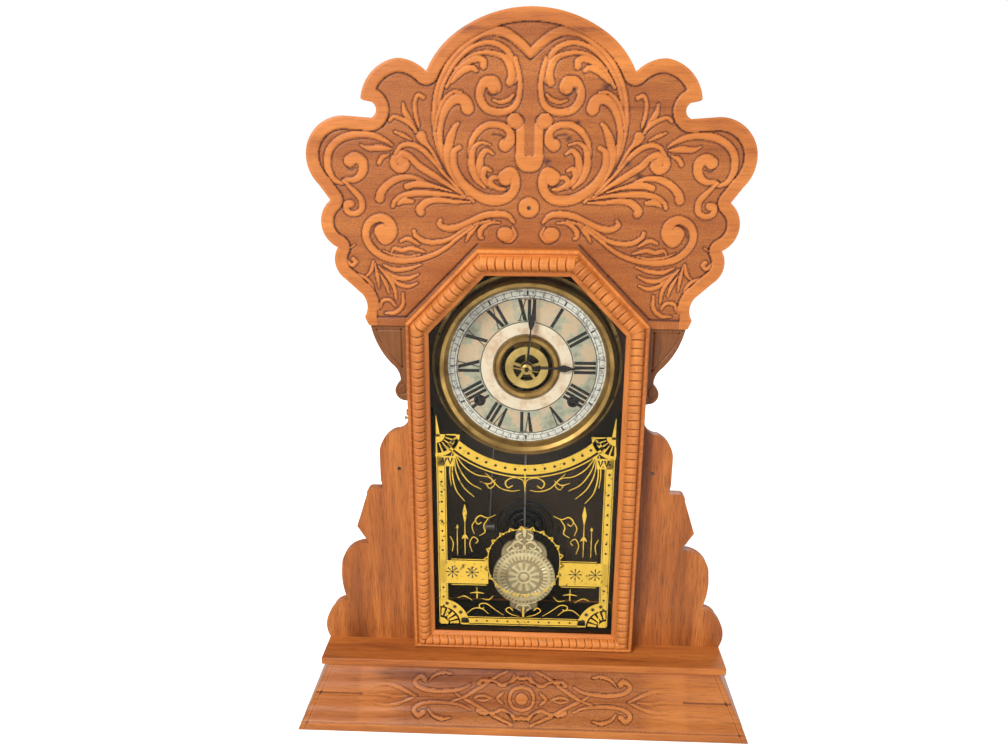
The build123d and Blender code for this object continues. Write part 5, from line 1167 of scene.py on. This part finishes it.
class CLOCK_OT_corbels(bpy.types.Operator):
    """Carve the two corbels beside the door"""

    bl_idname = "shelf_clock.corbels"
    bl_label = "Corbels"

    def execute(self, context):
        for side in ("left", "right"):
            carved_board(side + "_corbel_carved", side + "_corbel", corbel_front, corbel_back, corbel_relief,
                         corbel_cell, "oak_corbel_shaded", "case")
        return {"FINISHED"}


class CLOCK_OT_base(bpy.types.Operator):
    """Shape and carve the moulding along the base"""

    bl_idname = "shelf_clock.base"
    bl_label = "Base moulding"

    def execute(self, context):
        build_base()
        return {"FINISHED"}


class CLOCK_OT_door_sticks(bpy.types.Operator):
    """Shape the six ribbed sticks of the door"""

    bl_idname = "shelf_clock.door_sticks"
    bl_label = "Door sticks"

    def execute(self, context):
        build_sticks()
        return {"FINISHED"}


class CLOCK_OT_bob(bpy.types.Operator):
    """Stamp the pendulum bob"""

    bl_idname = "shelf_clock.bob"
    bl_label = "Pendulum bob"

    def execute(self, context):
        low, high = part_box("pendulum_bob")
        carved_board("bob_stamped", "pendulum_bob", low.y / MM, high.y / MM, bob_relief, bob_cell,
                     "bob_brass", "pendulum", outline_level=high.y / MM, side=1)
        return {"FINISHED"}


class CLOCK_OT_dial(bpy.types.Operator):
    """Print the numerals and the minute track on the dial"""

    bl_idname = "shelf_clock.dial"
    bl_label = "Dial print"

    def execute(self, context):
        build_dial()
        return {"FINISHED"}


class CLOCK_OT_tablet(bpy.types.Operator):
    """Paint the gilt work on the back of the door's glass"""

    bl_idname = "shelf_clock.tablet"
    bl_label = "Tablet"

    def execute(self, context):
        build_tablet()
        return {"FINISHED"}


class CLOCK_OT_stage(bpy.types.Operator):
    """Set up the floor, lamps, background and camera"""

    bl_idname = "shelf_clock.stage"
    bl_label = "Stage"

    def execute(self, context):
        build_stage(context.scene)
        return {"FINISHED"}


# Camera place in millimetres, its turns in degrees and its lens

camera_place = (5.1, -621.0, 481.4)
camera_yaw, camera_pitch, camera_roll = -2.16, 16.64, 0.3
camera_lens, sensor_width = 28.42, 36.0
floor_glow, ambient_light = 0.80, 0.32


def lamp(scene, name, place, aim, size, power):
    light = bpy.data.lights.new(name, "AREA")
    light.energy, light.size = power, size
    made = bpy.data.objects.new(name, light)
    made.location = place
    made.rotation_euler = (Vector(aim) - Vector(place)).to_track_quat("-Z", "Y").to_euler()
    scene.collection.objects.link(made)


def build_stage(scene):
    """White floor and background, three lamps and the camera."""
    scene.view_settings.view_transform = "Standard"
    mesh = bmesh.new()
    bmesh.ops.create_grid(mesh, x_segments=1, y_segments=1, size=6.0)
    data = bpy.data.meshes.new("floor")
    mesh.to_mesh(data)
    mesh.free()
    floor = bpy.data.objects.new("floor", data)
    scene.collection.objects.link(floor)
    paper = Finish("floor_paper", Base_Color=(0.6, 0.6, 0.6, 1), Roughness=0.9, Specular_IOR_Level=0.0)
    rays = paper.add("ShaderNodeLightPath", {})
    seen = paper.math("MAXIMUM", rays.outputs["Is Camera Ray"], rays.outputs["Is Glossy Ray"])
    paper.shader.inputs["Emission Color"].default_value = (1, 1, 1, 1)
    paper.feed("Emission Strength", paper.math("MULTIPLY", seen, floor_glow))
    data.materials.append(paper.material)

    world = bpy.data.worlds.new("studio")
    world.use_nodes = True
    scene.world = world
    tree = world.node_tree
    background = tree.nodes["Background"]
    background.inputs["Color"].default_value = (1, 1, 1, 1)
    rays = tree.nodes.new("ShaderNodeLightPath")
    both = tree.nodes.new("ShaderNodeMath")
    both.operation = "MAXIMUM"
    tree.links.new(rays.outputs["Is Camera Ray"], both.inputs[0])
    tree.links.new(rays.outputs["Is Transmission Ray"], both.inputs[1])
    level = tree.nodes.new("ShaderNodeMapRange")
    tree.links.new(both.outputs[0], level.inputs["Value"])
    level.inputs["To Min"].default_value = ambient_light
    level.inputs["To Max"].default_value = 1.0
    tree.links.new(level.outputs[0], background.inputs["Strength"])

    power = settings().lamp_power
    lamp(scene, "main_lamp", (-0.9, -1.5, 1.35), (0, 0, 0.3), 0.7, power)
    lamp(scene, "fill_lamp", (1.3, -1.4, 0.6), (0, 0, 0.25), 1.2, power * 0.3)
    lamp(scene, "back_lamp", (0.4, 1.6, 1.2), (0, 0, 0.3), 1.2, power * 0.5)

    yaw, pitch, roll = radians(camera_yaw), radians(camera_pitch), radians(camera_roll)
    forward = Vector((sin(yaw) * cos(pitch), cos(yaw) * cos(pitch), -sin(pitch)))
    right = Vector((cos(yaw), -sin(yaw), 0))
    up = right.cross(forward)
    right, up = right * cos(roll) + up * sin(roll), up * cos(roll) - right * sin(roll)
    eye = Matrix((right, up, -forward)).transposed().to_4x4()
    eye.translation = Vector(camera_place) * MM
    camera = bpy.data.objects.new("camera", bpy.data.cameras.new("camera"))
    camera.data.lens, camera.data.sensor_width, camera.data.clip_start = camera_lens, sensor_width, 0.01
    camera.matrix_world = eye
    scene.collection.objects.link(camera)
    scene.camera = camera


class CLOCK_PT_panel(bpy.types.Panel):
    """Lists the clock's pieces"""

    bl_idname = "CLOCK_PT_panel"
    bl_label = "Shelf Clock"
    bl_space_type = "VIEW_3D"
    bl_region_type = "UI"
    bl_category = "Shelf Clock"

    def draw(self, context):
        for name in ClockSettings.__annotations__:
            self.layout.prop(context.scene.shelf_clock, name)
        for operator in clock_operators:
            self.layout.operator(operator.bl_idname)


clock_operators = (CLOCK_OT_finishes, CLOCK_OT_crest, CLOCK_OT_corbels, CLOCK_OT_base, CLOCK_OT_door_sticks,
                   CLOCK_OT_bob, CLOCK_OT_dial, CLOCK_OT_tablet, CLOCK_OT_stage)


def register():
    for made in (ClockSettings, *clock_operators, CLOCK_PT_panel):
        bpy.utils.register_class(made)
    bpy.types.Scene.shelf_clock = PointerProperty(type=ClockSettings)


def unregister():
    del bpy.types.Scene.shelf_clock
    for made in (CLOCK_PT_panel, *reversed(clock_operators), ClockSettings):
        bpy.utils.unregister_class(made)


def main():
    register()
    bpy.ops.shelf_clock.finishes()
    bpy.ops.shelf_clock.crest()
    bpy.ops.shelf_clock.corbels()
    bpy.ops.shelf_clock.base()
    bpy.ops.shelf_clock.door_sticks()
    bpy.ops.shelf_clock.bob()
    bpy.ops.shelf_clock.dial()
    bpy.ops.shelf_clock.tablet()
    bpy.ops.shelf_clock.stage()


if __name__ == "__main__":
    main()
